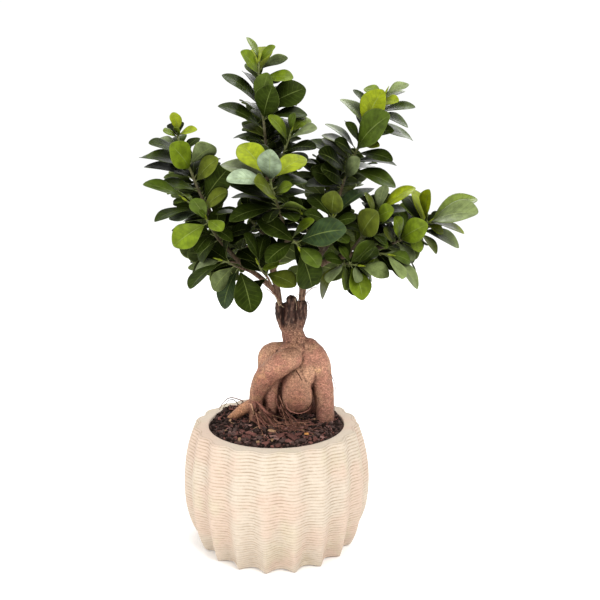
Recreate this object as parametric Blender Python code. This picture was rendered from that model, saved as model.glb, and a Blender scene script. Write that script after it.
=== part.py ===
"""Ginseng ficus: a swollen bare root with grafted leafy branches, potted in a fluted pot.

Run with: blender --background --python part.py
Lengths are in millimetres until mesh coordinates are written, which are in metres.
The origin is the middle of the pot's foot, +Z is up and the viewer stands on -Y.
"""
import itertools
import math
import random

import bmesh
import bpy
from mathutils import Matrix, Vector
from mathutils.bvhtree import BVHTree

MM = 0.001
GAP = 0.3

# Pot: one turned, fluted body with a plain inside
POT_HEIGHT = 104.0
POT_BELLY_RADIUS = 80.2
POT_BELLY_HEIGHT = 56.5
POT_FOOT_RADIUS = 65.8
POT_MOUTH_RADIUS = 57.8
POT_BELLY_POWER = 2.1
POT_SHOULDER = 2.5
POT_WALL = 5.0
POT_FLOOR = 6.0
MOUTH_DEPTH = 8.0
MOUTH_WIDEST = 66.5
FLUTES = 20
FLUTE_TURN = math.radians(-5.4)
FLUTE_STRAIGHT = 75.0
FLUTE_DEPTH_FOOT = 9.2
FLUTE_DEPTH_BELLY = 3.3
FLUTE_CREST_SOFTNESS = 0.15
FLUTE_STEPS = 4
WALL_STEPS = 5
RIM_FADE = 0.12

# Soil: fills the pot to just under the rim, flat in the middle; its fit clears the pot's facets
SOIL_TOP = 101.0
SOIL_FLAT_RADIUS = 50.0
SOIL_EDGE_DROP = 2.5
SOIL_SIDES = 24
SOIL_FIT = 0.9985

# The viewer's eye, from which the plant's outline was measured on the plane y = 0
EYE = Vector((20.2, -618.0, 331.0))

# Swollen root: pegs under its feet stand in the soil, sockets in its crown take the grafts
ROOT_VOXEL = 1.7
ROOT_SMOOTHING = 4
ROOT_TRIANGLES = 1700
ROOT_BALL_STEPS = 5
STRAND_SIDES = 5
STRAND_SINK = 0.5
PEG_RADIUS = 4.5
PEG_DEPTH = 8.0
PEG_OVERLAP = 3.0
PEG_SIDES = 12
SOCKET_LENGTH = 14.0
SOCKET_SIDES = 10

# Stems
BRANCH_SIDES = 5
STEM_SIDES = 4
STEM_STEPS = 2

# Leaves: shares and ratios are of the leaf's own length unless they say otherwise
BLADE_THICKNESS = 1.5
LEAF_WIDTH = 0.6
LEAF_ARCH = 0.09
LEAF_FOLD = 0.16
LEAF_TIPWARD = 1.4
LEAF_FULLNESS = 0.7
STALK_SHARE = 0.12
STALK_WIDTH = 2.0
STALK_SINK = 0.5
STATIONS = (STALK_SHARE, 0.45, 0.82)

# Room kept round a leaf when it is placed
CLEAR_LIFT = 0.33
CLEAR_SPREAD = 1.21
CLEAR_TIP = 1.1
NEIGHBOUR_REACH = 0.62

# Places tried for a read leaf: its tip's depth, which keeps what the viewer sees, its stalk's place
# along the stem, and how squarely it faces the viewer. It may be this much longer than it was read
TIP_SHIFTS = (0.0, 4.0, -4.0, 8.0, -8.0, 12.0, -12.0, 16.0, -16.0, 20.0, -20.0)
STALK_SLIDES = (0.0, -4.0, 4.0, -8.0, 8.0, -12.0, 12.0)
FACINGS = (1.0, 0.75, 0.5)
LONGEST = 1.2

# Leaves placed by rule, from the shoot's tip down
SEED = 7
GOLDEN_ANGLE = math.radians(137.5)
TIP_SPREAD = math.radians(34)
BASE_SPREAD = math.radians(76)
SPREAD_PLAY = math.radians(8)
LOWEST_SHARE = 0.06
HIGHEST_SHARE = 0.97
SHARE_STEP = 0.02
RULE_TURNS = (0.0, 0.3, -0.3, 0.6, -0.6, 0.9, -0.9, 1.3, -1.3)
RULE_LENGTHS = (28.0, 35.0)
TIP_SHORTENING = 0.35
RULE_ARCHES = (0.06, 0.13)
DROOP = 0.12
FACE_OUT = -0.15
FACE_UP = 0.5
LIGHT_SHARES = (0.4, 0.6, 0.8, 1.0)

# Limbs of the root: (x, z, depth, radius) read on the front plane, from the top of each down
LIMBS = {
    "stump": [(13, 210.5, 9, 4.6), (13.6, 202, 9, 5.2), (13.8, 193, 9, 6.6), (14, 184, 9, 9.4),
              (16, 176, 9, 10.2)],
    "left_lobe": [(3.0, 206.5, 9, 3.7), (3.0, 200, 9, 3.9), (4.8, 194, 9, 4.0), (7.5, 188, 9, 4.6)],
    "right_lobe": [(22.1, 207.5, 9, 4.1), (22.0, 200, 9, 4.4), (20.2, 192, 9, 4.6), (17, 186, 9, 6)],
    "chest": [(17, 170, 10, 9.5), (15, 161, 11, 15.5), (16, 151, 12, 17), (19, 145, 13, 16)],
    "right_shoulder": [(27, 169, 9, 10), (33, 158, 7, 12.5), (37.8, 145, 7, 9.8), (40.8, 127, 7, 8.8),
                       (41.8, 111, 7, 8.2), (42, 98, 7, 8.4)],
    "left_shoulder": [(5, 167.5, 15, 8.2), (-4.5, 163, 15, 10.5), (-7, 150, 17, 9.5), (-13, 132, 20, 8.5),
                      (-15, 114, 24, 7.5), (-16, 98, 26, 7.5)],
    "arm": [(13, 160, -9.5, 9.3), (6, 157.3, -11, 10.2), (-3, 150.5, -10, 10), (-11, 141.5, -7, 9),
            (-15.8, 131.5, -3, 6.8), (-17.5, 122, 2, 6.2), (-17, 110, 5, 6.5), (-17, 98, 6, 6.5)],
    "foot": [(-18, 122, 3, 6), (-26, 117, 6, 5.2), (-34, 111.5, 10, 4.4), (-40, 107, 13, 3.2)],
    "inner_leg": [(-1.5, 144, 3, 6.2), (-4.2, 136, 1, 6.4), (-4.6, 129, 1, 6.2), (-4, 120, 2, 5.2),
                  (-5.5, 110, 3, 4.8), (-8, 98, 4, 5.2)],
    "belly": [(17, 148, 2, 9.5), (17, 139, 0, 12), (17.4, 130, -1, 13.3), (17.6, 126.6, -1, 13.3)],
    "back_leg": [(20, 150, 24, 13), (25, 134, 28, 11.5), (28, 116, 31, 9.5), (29, 98, 33, 9)],
    "back_root": [(8, 148, 24, 11), (6, 132, 25, 9.5), (4, 116, 26, 8), (2, 98, 27, 8)],
    "knee_root": [(-16, 117, 3, 5), (-10, 109, 1, 4.2), (-2, 103, -2, 2.8)],
}
# Thin roots over the soil: (x, y, half thickness) in plan, each lying on the soil
STRANDS = [
    [(-14, 3, 2.2), (-6, -4, 1.8), (4, -8, 1.5), (16, -11, 1.2)],
    [(-12, 6, 2.0), (0, 2, 1.7), (12, 0, 1.5), (24, -3, 1.3), (36, -9, 1.0)],
    [(-16, 2, 2.2), (-18, -8, 1.7), (-13, -17, 1.2)],
    [(-36, 12, 2.4), (-41, 3, 1.7), (-45, -8, 1.1)],
    [(-12, 30, 2.4), (-24, 36, 1.6), (-32, 38, 1.2)],
]
FOOTINGS = ["right_shoulder", "left_shoulder", "arm", "back_leg"]

# Branch wood: (x, z, depth, radius) from the graft outwards; the first of each node is the main one
BRANCHES = {
    "branch_left": {
        "main": [(3.3, 206, 9, 2.0), (2.6, 214, 9, 2.3), (0, 226, 9, 2.7), (-3, 242, 9, 2.7),
                 (-5, 262, 9, 2.4), (-6, 280, 9, 2.0), (-6, 296, 9, 1.7)],
        "side": [(2.8, 212, 9, 2.0), (-3, 221, 5, 2.0), (-14, 231, -2, 2.0), (-26, 240, -6, 1.9),
                 (-38, 252, -6, 1.8), (-47, 266, -5, 1.7), (-52, 278, -5, 1.6)],
        "front": [(-2, 236, 9, 2.0), (4, 248, -4, 1.8), (9, 259, -14, 1.7), (10, 268, -20, 1.5)],
        "back": [(-3, 240, 9, 2.2), (-8, 254, 26, 1.9), (-10, 266, 44, 1.7), (-11, 276, 58, 1.5)],
    },
    "branch_right": {
        "main": [(22.1, 207, 9, 2.1), (22, 214, 9, 2.5), (23.5, 225, 9, 3.0), (31, 236, 8, 2.6),
                 (43, 244, 6, 2.3), (58, 248, 2, 2.1), (76, 252, -2, 1.9), (92, 257, -4, 1.6)],
        "up": [(25, 228, 9, 2.4), (34, 244, 11, 2.1), (42, 262, 10, 2.0), (48, 280, 8, 1.8),
               (52, 294, 6, 1.6)],
        "back": [(36, 247, 11, 2.0), (42, 256, 28, 1.9), (47, 264, 46, 1.7), (50, 272, 60, 1.5)],
    },
}

# Leafy shoots. The route runs from inside the branch wood to the shoot's tip, (x, z, depth) on
# the front plane; wood is the share of it that belongs to the branch. Each leaf is read where
# the viewer sees it: stalk x, z, tip x, z, real length, tip nearer (-1) or farther (1) than the
# stalk, and the share of its width that shows, below 0 where the underside does.
SHOOTS = {
    "shoot_crown": {
        "node": "branch_left", "wood": 0.26, "radius": (1.6, 0.9), "fill": 7,
        "route": [(-6, 288, 9), (-6, 310, 9), (-7, 335, 8), (-9, 358, 7), (-12, 380, 6), (-12, 401, 5)],
        "leaves": [
            (-12, 388, -9, 413, 30, 1, 0.95), (-12, 401, -21, 420, 21, -1, 0.4),
            (-12, 366, -41, 392, 40, -1, 0.42), (-10, 349, -45, 368, 41, -1, 0.40),
            (-11, 359, -27, 371, 28, 1, 0.25), (-12, 376, -24, 394, 28, 1, 0.45),
            (-9, 356, -2, 383, 34, -1, 0.95), (-10, 364, 25, 381, 38, 1, 0.9),
            (-11, 373, -5, 393, 28, 1, 0.9), (-12, 390, -26, 409, 24, -1, 0.5),
            (-12, 399, 1, 413, 20, -1, 0.55), (-12, 394, 11, 404, 26, 1, -0.5),
            (-12, 386, 15, 389, 30, -1, 0.5), (-12, 383, 5, 387, 22, -1, 0.6),
            (-12, 388, -22, 399, 18, -1, 0.6), (-9, 357, 26, 362, 36, -1, 0.4),
            (-7, 338, -33, 344, 28, 1, 0.35), (-7, 341, -23, 353, 24, 1, 0.7),
            (-7, 335, -23, 341, 24, -1, 0.35),
        ],
    },
    "shoot_crown_side": {
        "node": "branch_left", "wood": 0.3, "radius": (1.3, 0.8), "fill": 3,
        "route": [(-6, 288, 9), (-3, 304, 3), (3, 322, -2), (10, 338, -5), (13, 348, -7)],
        "leaves": [
            (10, 338, -4, 361, 28, 1, 0.6), (12, 346, 27, 359, 24, 1, 0.85),
            (11, 342, 34, 350, 27, -1, 0.4), (7, 332, 33, 336, 30, -1, 0.45),
            (4, 325, -13, 333, 26, -1, 0.5), (6, 330, 26, 325, 26, -1, 0.4),
            (13, 348, 16, 362, 16, -1, 0.6),
        ],
    },
    "shoot_centre_front": {
        "node": "branch_left", "wood": 0.3, "radius": (1.4, 0.9), "fill": 5,
        "route": [(10, 262, -16), (6, 276, -26), (2, 289, -34), (-2, 301, -40), (-4, 311, -43)],
        "leaves": [
            (-4, 311, -28, 338, 37, 1, 0.9), (-4, 308, -3, 334, 32, -1, 0.95),
            (-3, 309, 25, 327, 34, 1, 0.7), (-3, 306, -39, 310, 38, -1, 0.5),
            (0, 297, 14, 306, 18, -1, 0.7), (1, 292, -37, 305, 40, -1, 0.4),
            (-2, 303, -43, 323, 42, 1, 0.5), (2, 288, -35, 296, 39, 1, 0.3),
            (2, 287, -38, 277, 41, -1, 0.5), (3, 286, 25, 286, 26, -1, -0.35),
            (-1, 302, 24, 311, 30, 1, 0.6), (1, 291, 27, 301, 32, 1, 0.4),
        ],
    },
    "shoot_left": {
        "node": "branch_left", "wood": 0.16, "radius": (1.5, 0.8), "fill": 8,
        "route": [(-50, 274, -5), (-57, 290, -6), (-63, 304, -7), (-69, 320, -8), (-75, 335, -9),
                  (-78, 346, -9)],
        "leaves": [
            (-78, 346, -80, 363, 18, 1, 0.9), (-77, 344, -62, 350, 17, -1, 0.5),
            (-76, 339, -89, 348, 16, -1, 0.45), (-75, 336, -77, 350, 15, -1, 0.8),
            (-75, 335, -98, 341, 24, 1, 0.4), (-73, 329, -101, 338, 31, -1, 0.35),
            (-68, 317, -84, 338, 30, -1, 0.9), (-68, 317, -103, 330, 38, -1, 0.42),
            (-65, 310, -105, 322, 42, 1, 0.35), (-69, 319, -108, 328, 41, 1, 0.35),
            (-69, 320, -48, 337, 28, -1, -0.85), (-72, 330, -60, 343, 20, 1, 0.6),
            (-64, 306, -46, 327, 29, -1, 0.7), (-58, 292, -36, 320, 37, -1, 0.95),
            (-62, 301, -50, 313, 24, 1, 0.7), (-62, 300, -93, 307, 33, -1, 0.45),
        ],
    },
    "shoot_left_side": {
        "node": "branch_left", "wood": 0.3, "radius": (1.3, 0.8), "fill": 4,
        "route": [(-47, 267, -5), (-54, 277, -12), (-63, 286, -18), (-72, 293, -22)],
        "leaves": [
            (-72, 293, -107, 306, 38, -1, 0.42), (-66, 288, -78, 301, 20, -1, 0.4),
            (-71, 292, -83, 292, 14, -1, 0.6), (-62, 285, -99, 278, 39, -1, 0.32),
            (-60, 283, -87, 279, 29, -1, 0.7), (-60, 284, -38, 301, 28, -1, 0.6),
        ],
    },
    "shoot_left_low": {
        "node": "branch_left", "wood": 0.34, "radius": (1.3, 0.8), "fill": 4,
        "route": [(-35, 249, -6), (-44, 258, -18), (-51, 268, -27), (-56, 278, -33)],
        "leaves": [
            (-56, 278, -43, 268, 20, -1, 0.85), (-55, 275, -84, 256, 35, -1, 0.92),
            (-50, 266, -66, 251, 25, -1, 0.7), (-46, 261, -64, 246, 26, 1, 0.8),
            (-53, 271, -35, 260, 24, 1, 0.7), (-56, 278, -62, 285, 12, -1, 0.6),
            (-48, 264, -84, 270, 38, 1, 0.5),
        ],
    },
    "shoot_left_bottom": {
        "node": "branch_left", "wood": 0.3, "radius": (1.2, 0.8), "fill": 3,
        "route": [(-20, 235, -4), (-30, 238, -14), (-38, 242, -20), (-44, 244, -23)],
        "leaves": [
            (-44, 244, -68, 231, 29, 1, 0.5), (-41, 243, -71, 220, 38, -1, 0.35),
            (-33, 240, -52, 219, 29, -1, -0.85), (-30, 239, -43, 203, 39, -1, 0.7),
            (-27, 237, -20, 200, 39, -1, 0.95), (-38, 242, -61, 240, 27, -1, 0.8),
        ],
    },
    "shoot_bottom_centre": {
        "node": "branch_left", "wood": 0.3, "radius": (1.3, 0.8), "fill": 3,
        "route": [(9, 259, -14), (13, 261, -22), (17, 259, -30), (19, 255, -35)],
        "leaves": [
            (12, 262, -15, 277, 31, -1, 0.7), (13, 263, 31, 278, 26, -1, 0.4),
            (19, 256, 36, 239, 28, -1, 0.85), (17, 258, 58, 270, 44, -1, 0.78),
            (15, 258, -8, 243, 31, -1, 0.8), (19, 255, 30, 221, 38, 1, 0.95),
            (16, 259, 34, 258, 26, 1, 0.6),
        ],
    },
    "shoot_bottom_left": {
        "node": "branch_left", "wood": 0.3, "radius": (1.2, 0.8), "fill": 3,
        "route": [(-3, 221, 5), (-6, 229, -8), (-11, 235, -18), (-14, 241, -24)],
        "leaves": [
            (-9, 233, 17, 223, 31, -1, 0.8), (-12, 237, 3, 240, 22, -1, 0.6),
            (-14, 241, -30, 253, 26, 1, 0.85), (-14, 241, -8, 266, 28, 1, 0.85),
            (-13, 240, -26, 266, 30, -1, 0.4),
        ],
    },
    "shoot_centre_right": {
        "node": "branch_right", "wood": 0.3, "radius": (1.3, 0.8), "fill": 4,
        "route": [(38, 252, 11), (42, 262, -2), (45, 272, -12), (47, 281, -18)],
        "leaves": [
            (47, 281, 48, 300, 28, -1, 0.92), (46, 277, 80, 303, 44, 1, 0.35),
            (45, 273, 24, 283, 26, -1, 0.5), (45, 272, 66, 279, 25, -1, 0.6),
            (43, 266, 60, 258, 24, -1, 0.6), (46, 278, 28, 298, 32, 1, 0.8), (44, 269, 22, 270, 28, 1, 0.6),
        ],
    },
    "shoot_right_top": {
        "node": "branch_right", "wood": 0.2, "radius": (1.5, 0.8), "fill": 8,
        "route": [(49, 284, 8), (53, 300, 6), (58, 315, 5), (66, 334, 4), (76, 354, 3), (87, 376, 2)],
        "leaves": [
            (87, 375, 106, 385, 22, -1, 0.5), (87, 374, 71, 382, 20, 1, 0.7),
            (72, 346, 85, 380, 38, -1, 0.8), (78, 358, 62, 380, 28, 1, 0.4), (74, 350, 53, 374, 33, 1, 0.5),
            (84, 368, 98, 372, 16, -1, 0.6), (64, 330, 91, 361, 42, -1, 0.65),
            (80, 362, 112, 366, 34, -1, 0.35), (79, 360, 107, 352, 30, -1, 0.4),
            (70, 342, 95, 349, 28, -1, 0.5), (74, 350, 110, 341, 38, 1, 0.35),
            (68, 338, 84, 337, 18, -1, 0.7), (64, 330, 95, 325, 33, -1, 0.5),
            (66, 334, 40, 354, 34, 1, 0.3), (62, 324, 38, 343, 32, 1, 0.6), (60, 320, 26, 340, 40, 1, 0.45),
            (60, 319, 35, 329, 28, -1, 0.6), (55, 306, 30, 317, 30, -1, 0.9),
            (57, 311, 67, 328, 24, -1, -0.5), (59, 316, 98, 304, 42, -1, 0.5),
            (62, 324, 98, 321, 38, 1, 0.3), (54, 303, 24, 305, 32, -1, 0.35),
            (56, 309, 34, 318, 26, 1, 0.6),
        ],
    },
    "shoot_right_mid": {
        "node": "branch_right", "wood": 0.3, "radius": (1.3, 0.8), "fill": 4,
        "route": [(58, 248, 2), (65, 256, -8), (72, 266, -14), (80, 276, -18), (85, 284, -20)],
        "leaves": [
            (83, 281, 89, 306, 30, 1, 0.8), (70, 262, 83, 284, 34, -1, 0.9),
            (80, 276, 96, 286, 22, -1, 0.8), (79, 275, 73, 300, 30, 1, 0.6),
            (73, 267, 57, 273, 22, -1, 0.6), (77, 272, 98, 278, 24, -1, 0.5),
            (67, 259, 65, 273, 20, -1, 0.5),
        ],
    },
    "shoot_right": {
        "node": "branch_right", "wood": 0.24, "radius": (1.4, 0.8), "fill": 6,
        "route": [(84, 254, -3), (96, 258, -5), (107, 263, -7), (117, 269, -8), (125, 275, -9)],
        "leaves": [
            (121, 272, 113, 303, 34, 1, 0.6), (119, 271, 106, 298, 32, 1, 0.75),
            (125, 275, 125, 302, 28, 1, 0.55), (125, 275, 164, 295, 44, 1, 0.5),
            (124, 274, 165, 284, 43, -1, 0.55), (125, 275, 155, 267, 32, -1, 0.3),
            (123, 273, 138, 267, 18, -1, 0.7), (117, 269, 151, 255, 38, -1, 0.5),
            (115, 267, 133, 250, 27, -1, 0.35), (101, 260, 124, 274, 29, -1, 0.95),
            (112, 266, 119, 251, 20, -1, 0.95), (108, 264, 96, 290, 30, 1, 0.7),
            (99, 259, 113, 243, 24, -1, 0.7), (97, 258, 88, 270, 20, -1, 0.6),
            (101, 260, 98, 280, 24, -1, 0.5),
        ],
    },
    "shoot_right_low": {
        "node": "branch_right", "wood": 0.3, "radius": (1.3, 0.8), "fill": 4,
        "route": [(43, 244, 6), (52, 243, -8), (60, 241, -18), (68, 240, -25)],
        "leaves": [
            (62, 241, 73, 211, 34, -1, 0.85), (54, 242, 38, 212, 36, 1, 0.4),
            (57, 242, 57, 219, 27, -1, 0.5), (65, 240, 67, 226, 20, -1, 0.6),
            (68, 240, 94, 231, 29, -1, 0.75), (66, 240, 80, 228, 22, 1, 0.5),
            (60, 241, 44, 226, 24, -1, 0.4), (62, 241, 52, 256, 22, 1, 0.6),
            (58, 242, 41, 246, 22, -1, 0.6),
        ],
    },
    "shoot_right_under": {
        "node": "branch_right", "wood": 0.34, "radius": (1.3, 0.8), "fill": 4,
        "route": [(68, 250, 0), (76, 250, -12), (85, 250, -20), (92, 249, -25)],
        "leaves": [
            (86, 250, 105, 243, 24, -1, 0.75), (92, 249, 118, 220, 39, 1, 0.45),
            (90, 249, 104, 228, 27, -1, 0.45), (83, 250, 76, 236, 20, 1, 0.6),
            (92, 249, 112, 243, 24, 1, 0.7),
        ],
    },
    "shoot_inner_left": {
        "node": "branch_left", "wood": 0.3, "radius": (1.3, 0.8), "fill": 8,
        "route": [(-26, 240, -6), (-28, 250, 2), (-30, 262, 6), (-32, 275, 8)],
        "leaves": [],
    },
    "shoot_inner_centre": {
        "node": "branch_left", "wood": 0.3, "radius": (1.3, 0.8), "fill": 7,
        "route": [(-5, 262, 9), (-12, 268, -2), (-19, 276, -10), (-24, 285, -14)],
        "leaves": [],
    },
    "shoot_inner_right": {
        "node": "branch_right", "wood": 0.3, "radius": (1.3, 0.8), "fill": 7,
        "route": [(38, 253, 11), (32, 260, 0), (26, 269, -8), (22, 280, -13)],
        "leaves": [],
    },
    "shoot_inner_far": {
        "node": "branch_right", "wood": 0.3, "radius": (1.3, 0.8), "fill": 7,
        "route": [(68, 251, 0), (74, 260, 8), (78, 272, 14), (80, 286, 18)],
        "leaves": [],
    },
    "shoot_back_top": {
        "node": "branch_left", "wood": 0.3, "radius": (1.5, 0.8), "fill": 11,
        "route": [(-6, 284, 9), (-4, 305, 26), (-6, 326, 40), (-8, 348, 50), (-8, 366, 56)],
        "leaves": [],
    },
    "shoot_back_left": {
        "node": "branch_left", "wood": 0.3, "radius": (1.4, 0.8), "fill": 10,
        "route": [(-42, 258, -5), (-48, 274, 14), (-56, 292, 32), (-64, 308, 44), (-68, 320, 50)],
        "leaves": [],
    },
    "shoot_back_centre": {
        "node": "branch_left", "wood": 0.26, "radius": (1.4, 0.8), "fill": 10,
        "route": [(-11, 270, 48), (-10, 280, 64), (-6, 292, 78), (-2, 302, 88)],
        "leaves": [],
    },
    "shoot_back_low": {
        "node": "branch_left", "wood": 0.26, "radius": (1.4, 0.8), "fill": 9,
        "route": [(-9, 258, 32), (-22, 256, 50), (-34, 256, 64), (-44, 258, 74)],
        "leaves": [],
    },
    "shoot_low_left": {
        "node": "branch_left", "wood": 0.34, "radius": (1.3, 0.8), "fill": 8,
        "route": [(-28, 242, -6), (-42, 244, 8), (-54, 246, 22), (-64, 248, 32)],
        "leaves": [],
    },
    "shoot_back_right": {
        "node": "branch_right", "wood": 0.26, "radius": (1.5, 0.8), "fill": 10,
        "route": [(49, 270, 54), (54, 286, 64), (60, 304, 72), (66, 320, 78)],
        "leaves": [],
    },
    "shoot_back_high": {
        "node": "branch_right", "wood": 0.26, "radius": (1.4, 0.8), "fill": 9,
        "route": [(46, 274, 9), (42, 290, 24), (42, 306, 38), (48, 324, 48)],
        "leaves": [],
    },
    "shoot_low_right": {
        "node": "branch_right", "wood": 0.26, "radius": (1.4, 0.8), "fill": 9,
        "route": [(44, 260, 36), (54, 254, 54), (64, 250, 68), (74, 248, 80)],
        "leaves": [],
    },
    "shoot_far_right": {
        "node": "branch_right", "wood": 0.3, "radius": (1.4, 0.8), "fill": 9,
        "route": [(76, 252, -2), (88, 258, 18), (98, 266, 36), (106, 274, 48)],
        "leaves": [],
    },
    "shoot_under": {
        "node": "branch_right", "wood": 0.34, "radius": (1.3, 0.8), "fill": 7,
        "route": [(31, 236, 8), (30, 240, 24), (26, 244, 42), (18, 248, 58)],
        "leaves": [],
    },
}

# Places where the light shows between the branches, kept free of the leaves placed by rule: x, z, radius
LIGHT_GAPS = [
    (-52, 356, 20), (-31, 321, 7), (-32, 300, 5), (-34, 292, 3), (38, 362, 13), (42, 388, 22), (-70, 372, 14),
    (60, 394, 20), (112, 326, 17), (130, 318, 16), (140, 240, 18), (76, 303, 5), (68, 288, 3), (13, 205, 17),
    (-92, 290, 6), (-98, 262, 14), (-90, 238, 16), (15, 241, 2.5), (-26, 277, 2), (0, 212, 8), (55, 212, 8),
    (-60, 214, 14), (90, 216, 13), (130, 262, 3), (-95, 350, 12), (30, 372, 7), (-38, 338, 5),
]


def clear_scene():
    """Take every object out of the open file."""
    for thing in list(bpy.data.objects):
        bpy.data.objects.remove(thing, do_unlink=True)


def seen(x, z, depth):
    """The point at this depth that the viewer sees at (x, z) of the front plane."""
    scale = (depth - EYE.y) / -EYE.y
    return Vector((EYE.x + (x - EYE.x) * scale, depth, EYE.z + (z - EYE.z) * scale))


def flattened(point):
    """Where on the front plane the viewer sees a point: x and z."""
    scale = (point.y - EYE.y) / -EYE.y
    return EYE.x + (point.x - EYE.x) / scale, EYE.z + (point.z - EYE.z) / scale


def smooth_route(points, steps):
    """Points along the smooth curve that runs through the given ones."""
    guides = [2 * points[0] - points[1], *points, 2 * points[-1] - points[-2]]
    route = []
    for before, start, end, after in zip(guides, guides[1:], guides[2:], guides[3:]):
        for step in range(steps):
            t = step / steps
            route.append(0.5 * (2 * start + (end - before) * t
                                + (2 * before - 5 * start + 4 * end - after) * t ** 2
                                + (3 * start - before - 3 * end + after) * t ** 3))
    route.append(points[-1].copy())
    return route


def directions(route):
    """The route's heading at each of its points."""
    ends = [route[0], *route, route[-1]]
    return [(after - before).normalized() for before, after in zip(ends, ends[2:])]


def tube_mesh(route, headings, radii, sides):
    """A closed tube along a route, its ends cut square."""
    bm = bmesh.new()
    across = headings[0].orthogonal().normalized()
    rings = []
    for point, heading, radius in zip(route, headings, radii):
        across = (across - heading * across.dot(heading)).normalized()
        over = heading.cross(across)
        ring = []
        for side in range(sides):
            turn = 2 * math.pi * side / sides
            ring.append(bm.verts.new(point + radius * (math.cos(turn) * across + math.sin(turn) * over)))
        rings.append(ring)
    for low, high in zip(rings, rings[1:]):
        for side in range(sides):
            follow = (side + 1) % sides
            bm.faces.new((low[side], low[follow], high[follow], high[side]))
    bm.faces.new(list(reversed(rings[0])))
    bm.faces.new(rings[-1])
    bmesh.ops.triangulate(bm, faces=bm.faces)
    return bm


def make_object(name, bm):
    """An object in metres from a mesh in millimetres."""
    bmesh.ops.scale(bm, vec=(MM, MM, MM), verts=bm.verts)
    mesh = bpy.data.meshes.new(name)
    bm.to_mesh(mesh)
    bm.free()
    thing = bpy.data.objects.new(name, mesh)
    bpy.context.scene.collection.objects.link(thing)
    return thing


def apply_modifiers(thing):
    """Keep the mesh as its modifiers leave it."""
    depsgraph = bpy.context.evaluated_depsgraph_get()
    mesh = bpy.data.meshes.new_from_object(thing.evaluated_get(depsgraph))
    thing.modifiers.clear()
    thing.data = mesh


def combine(thing, others, operation, solver="EXACT"):
    """Join other closed objects to one, or cut them from it, and remove them."""
    group = bpy.data.collections.new("operands")
    bpy.context.scene.collection.children.link(group)
    for other in others:
        group.objects.link(other)
    boolean = thing.modifiers.new("combine", "BOOLEAN")
    boolean.operation = operation
    boolean.operand_type = "COLLECTION"
    boolean.collection = group
    boolean.solver = solver
    apply_modifiers(thing)
    for other in others:
        bpy.data.objects.remove(other, do_unlink=True)
    bpy.data.collections.remove(group)


def paint(thing, colour, roughness):
    """Give the object a material of its own."""
    material = bpy.data.materials.new(thing.name)
    material.use_nodes = True
    shader = material.node_tree.nodes["Principled BSDF"]
    shader.inputs["Base Color"].default_value = (*colour, 1.0)
    shader.inputs["Roughness"].default_value = roughness
    shader.inputs["Metallic"].default_value = 0.0
    thing.data.materials.clear()
    thing.data.materials.append(material)


def cylinder(radius, low, high, sides):
    """An upright or slanted closed cylinder between two points."""
    heading = (high - low).normalized()
    return tube_mesh([low, high], [heading, heading], [radius, radius], sides)


def belly_radius(height):
    """The pot's radius over its flute crests."""
    fall = POT_BELLY_RADIUS - POT_FOOT_RADIUS
    return POT_BELLY_RADIUS - fall * abs((height - POT_BELLY_HEIGHT) / POT_BELLY_HEIGHT) ** POT_BELLY_POWER


def pot_outline():
    """The pot's outer outline from the foot to the mouth: radius, height and flute depth."""
    shoulder_low = POT_HEIGHT - POT_SHOULDER
    outline = []
    for step in range(WALL_STEPS + 1):
        height = shoulder_low * step / WALL_STEPS
        depth = FLUTE_DEPTH_FOOT + (FLUTE_DEPTH_BELLY - FLUTE_DEPTH_FOOT) * min(1, height / POT_BELLY_HEIGHT)
        outline.append((belly_radius(height), height, depth))
    edge = belly_radius(shoulder_low)
    for step in (1, 2):
        turn = math.radians(45 * step)
        radius = edge - POT_SHOULDER * (1 - math.cos(turn))
        height = shoulder_low + POT_SHOULDER * math.sin(turn)
        outline.append((radius, height, FLUTE_DEPTH_BELLY * (1 - RIM_FADE * step)))
    outline.append((POT_MOUTH_RADIUS, POT_HEIGHT, 0.0))
    return outline


def mouth_outline():
    """The pot's plain inner wall from the mouth down to its floor."""
    widest = belly_radius(MOUTH_WIDEST) - FLUTE_DEPTH_BELLY - POT_WALL
    lowest = belly_radius(POT_FLOOR) - FLUTE_DEPTH_FOOT - POT_WALL
    return [(POT_MOUTH_RADIUS, POT_HEIGHT - MOUTH_DEPTH), (widest, MOUTH_WIDEST), (lowest, POT_FLOOR)]


def flute(turn):
    """How far down a flute the wall lies at this angle: 0 on a crest, 1 in a valley."""
    wave = math.sin(FLUTES * (turn - FLUTE_TURN) / 2)
    top = math.hypot(1, FLUTE_CREST_SOFTNESS) - FLUTE_CREST_SOFTNESS
    return (math.hypot(wave, FLUTE_CREST_SOFTNESS) - FLUTE_CREST_SOFTNESS) / top


def straightened(turn, height):
    """Where a crest that starts at this angle lies on the wall, so that the crests in front run straight down."""
    narrowing = belly_radius(height) / FLUTE_STRAIGHT - 1
    placed = turn
    for step in range(4):
        placed = turn - narrowing * math.sin(placed)
    return placed


def ring_of(bm, radius, height, depth, count):
    """A ring of vertices round the pot's axis, the flutes cut into it; angle 0 faces the viewer."""
    ring = []
    for step in range(count):
        turn = FLUTE_TURN + 2 * math.pi * step / count
        reach = radius - depth * flute(turn)
        if depth > 0:
            turn = straightened(turn, height)
        ring.append(bm.verts.new((reach * math.sin(turn), -reach * math.cos(turn), height)))
    return ring


def skin_rings(bm, rings):
    """Close the walls between rings, and cap the first and the last."""
    for low, high in zip(rings, rings[1:]):
        count = len(low)
        for step in range(count):
            follow = (step + 1) % count
            bm.faces.new((low[step], low[follow], high[follow], high[step]))
    bm.faces.new(list(reversed(rings[0])))
    bm.faces.new(rings[-1])
    bmesh.ops.triangulate(bm, faces=bm.faces)


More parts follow.
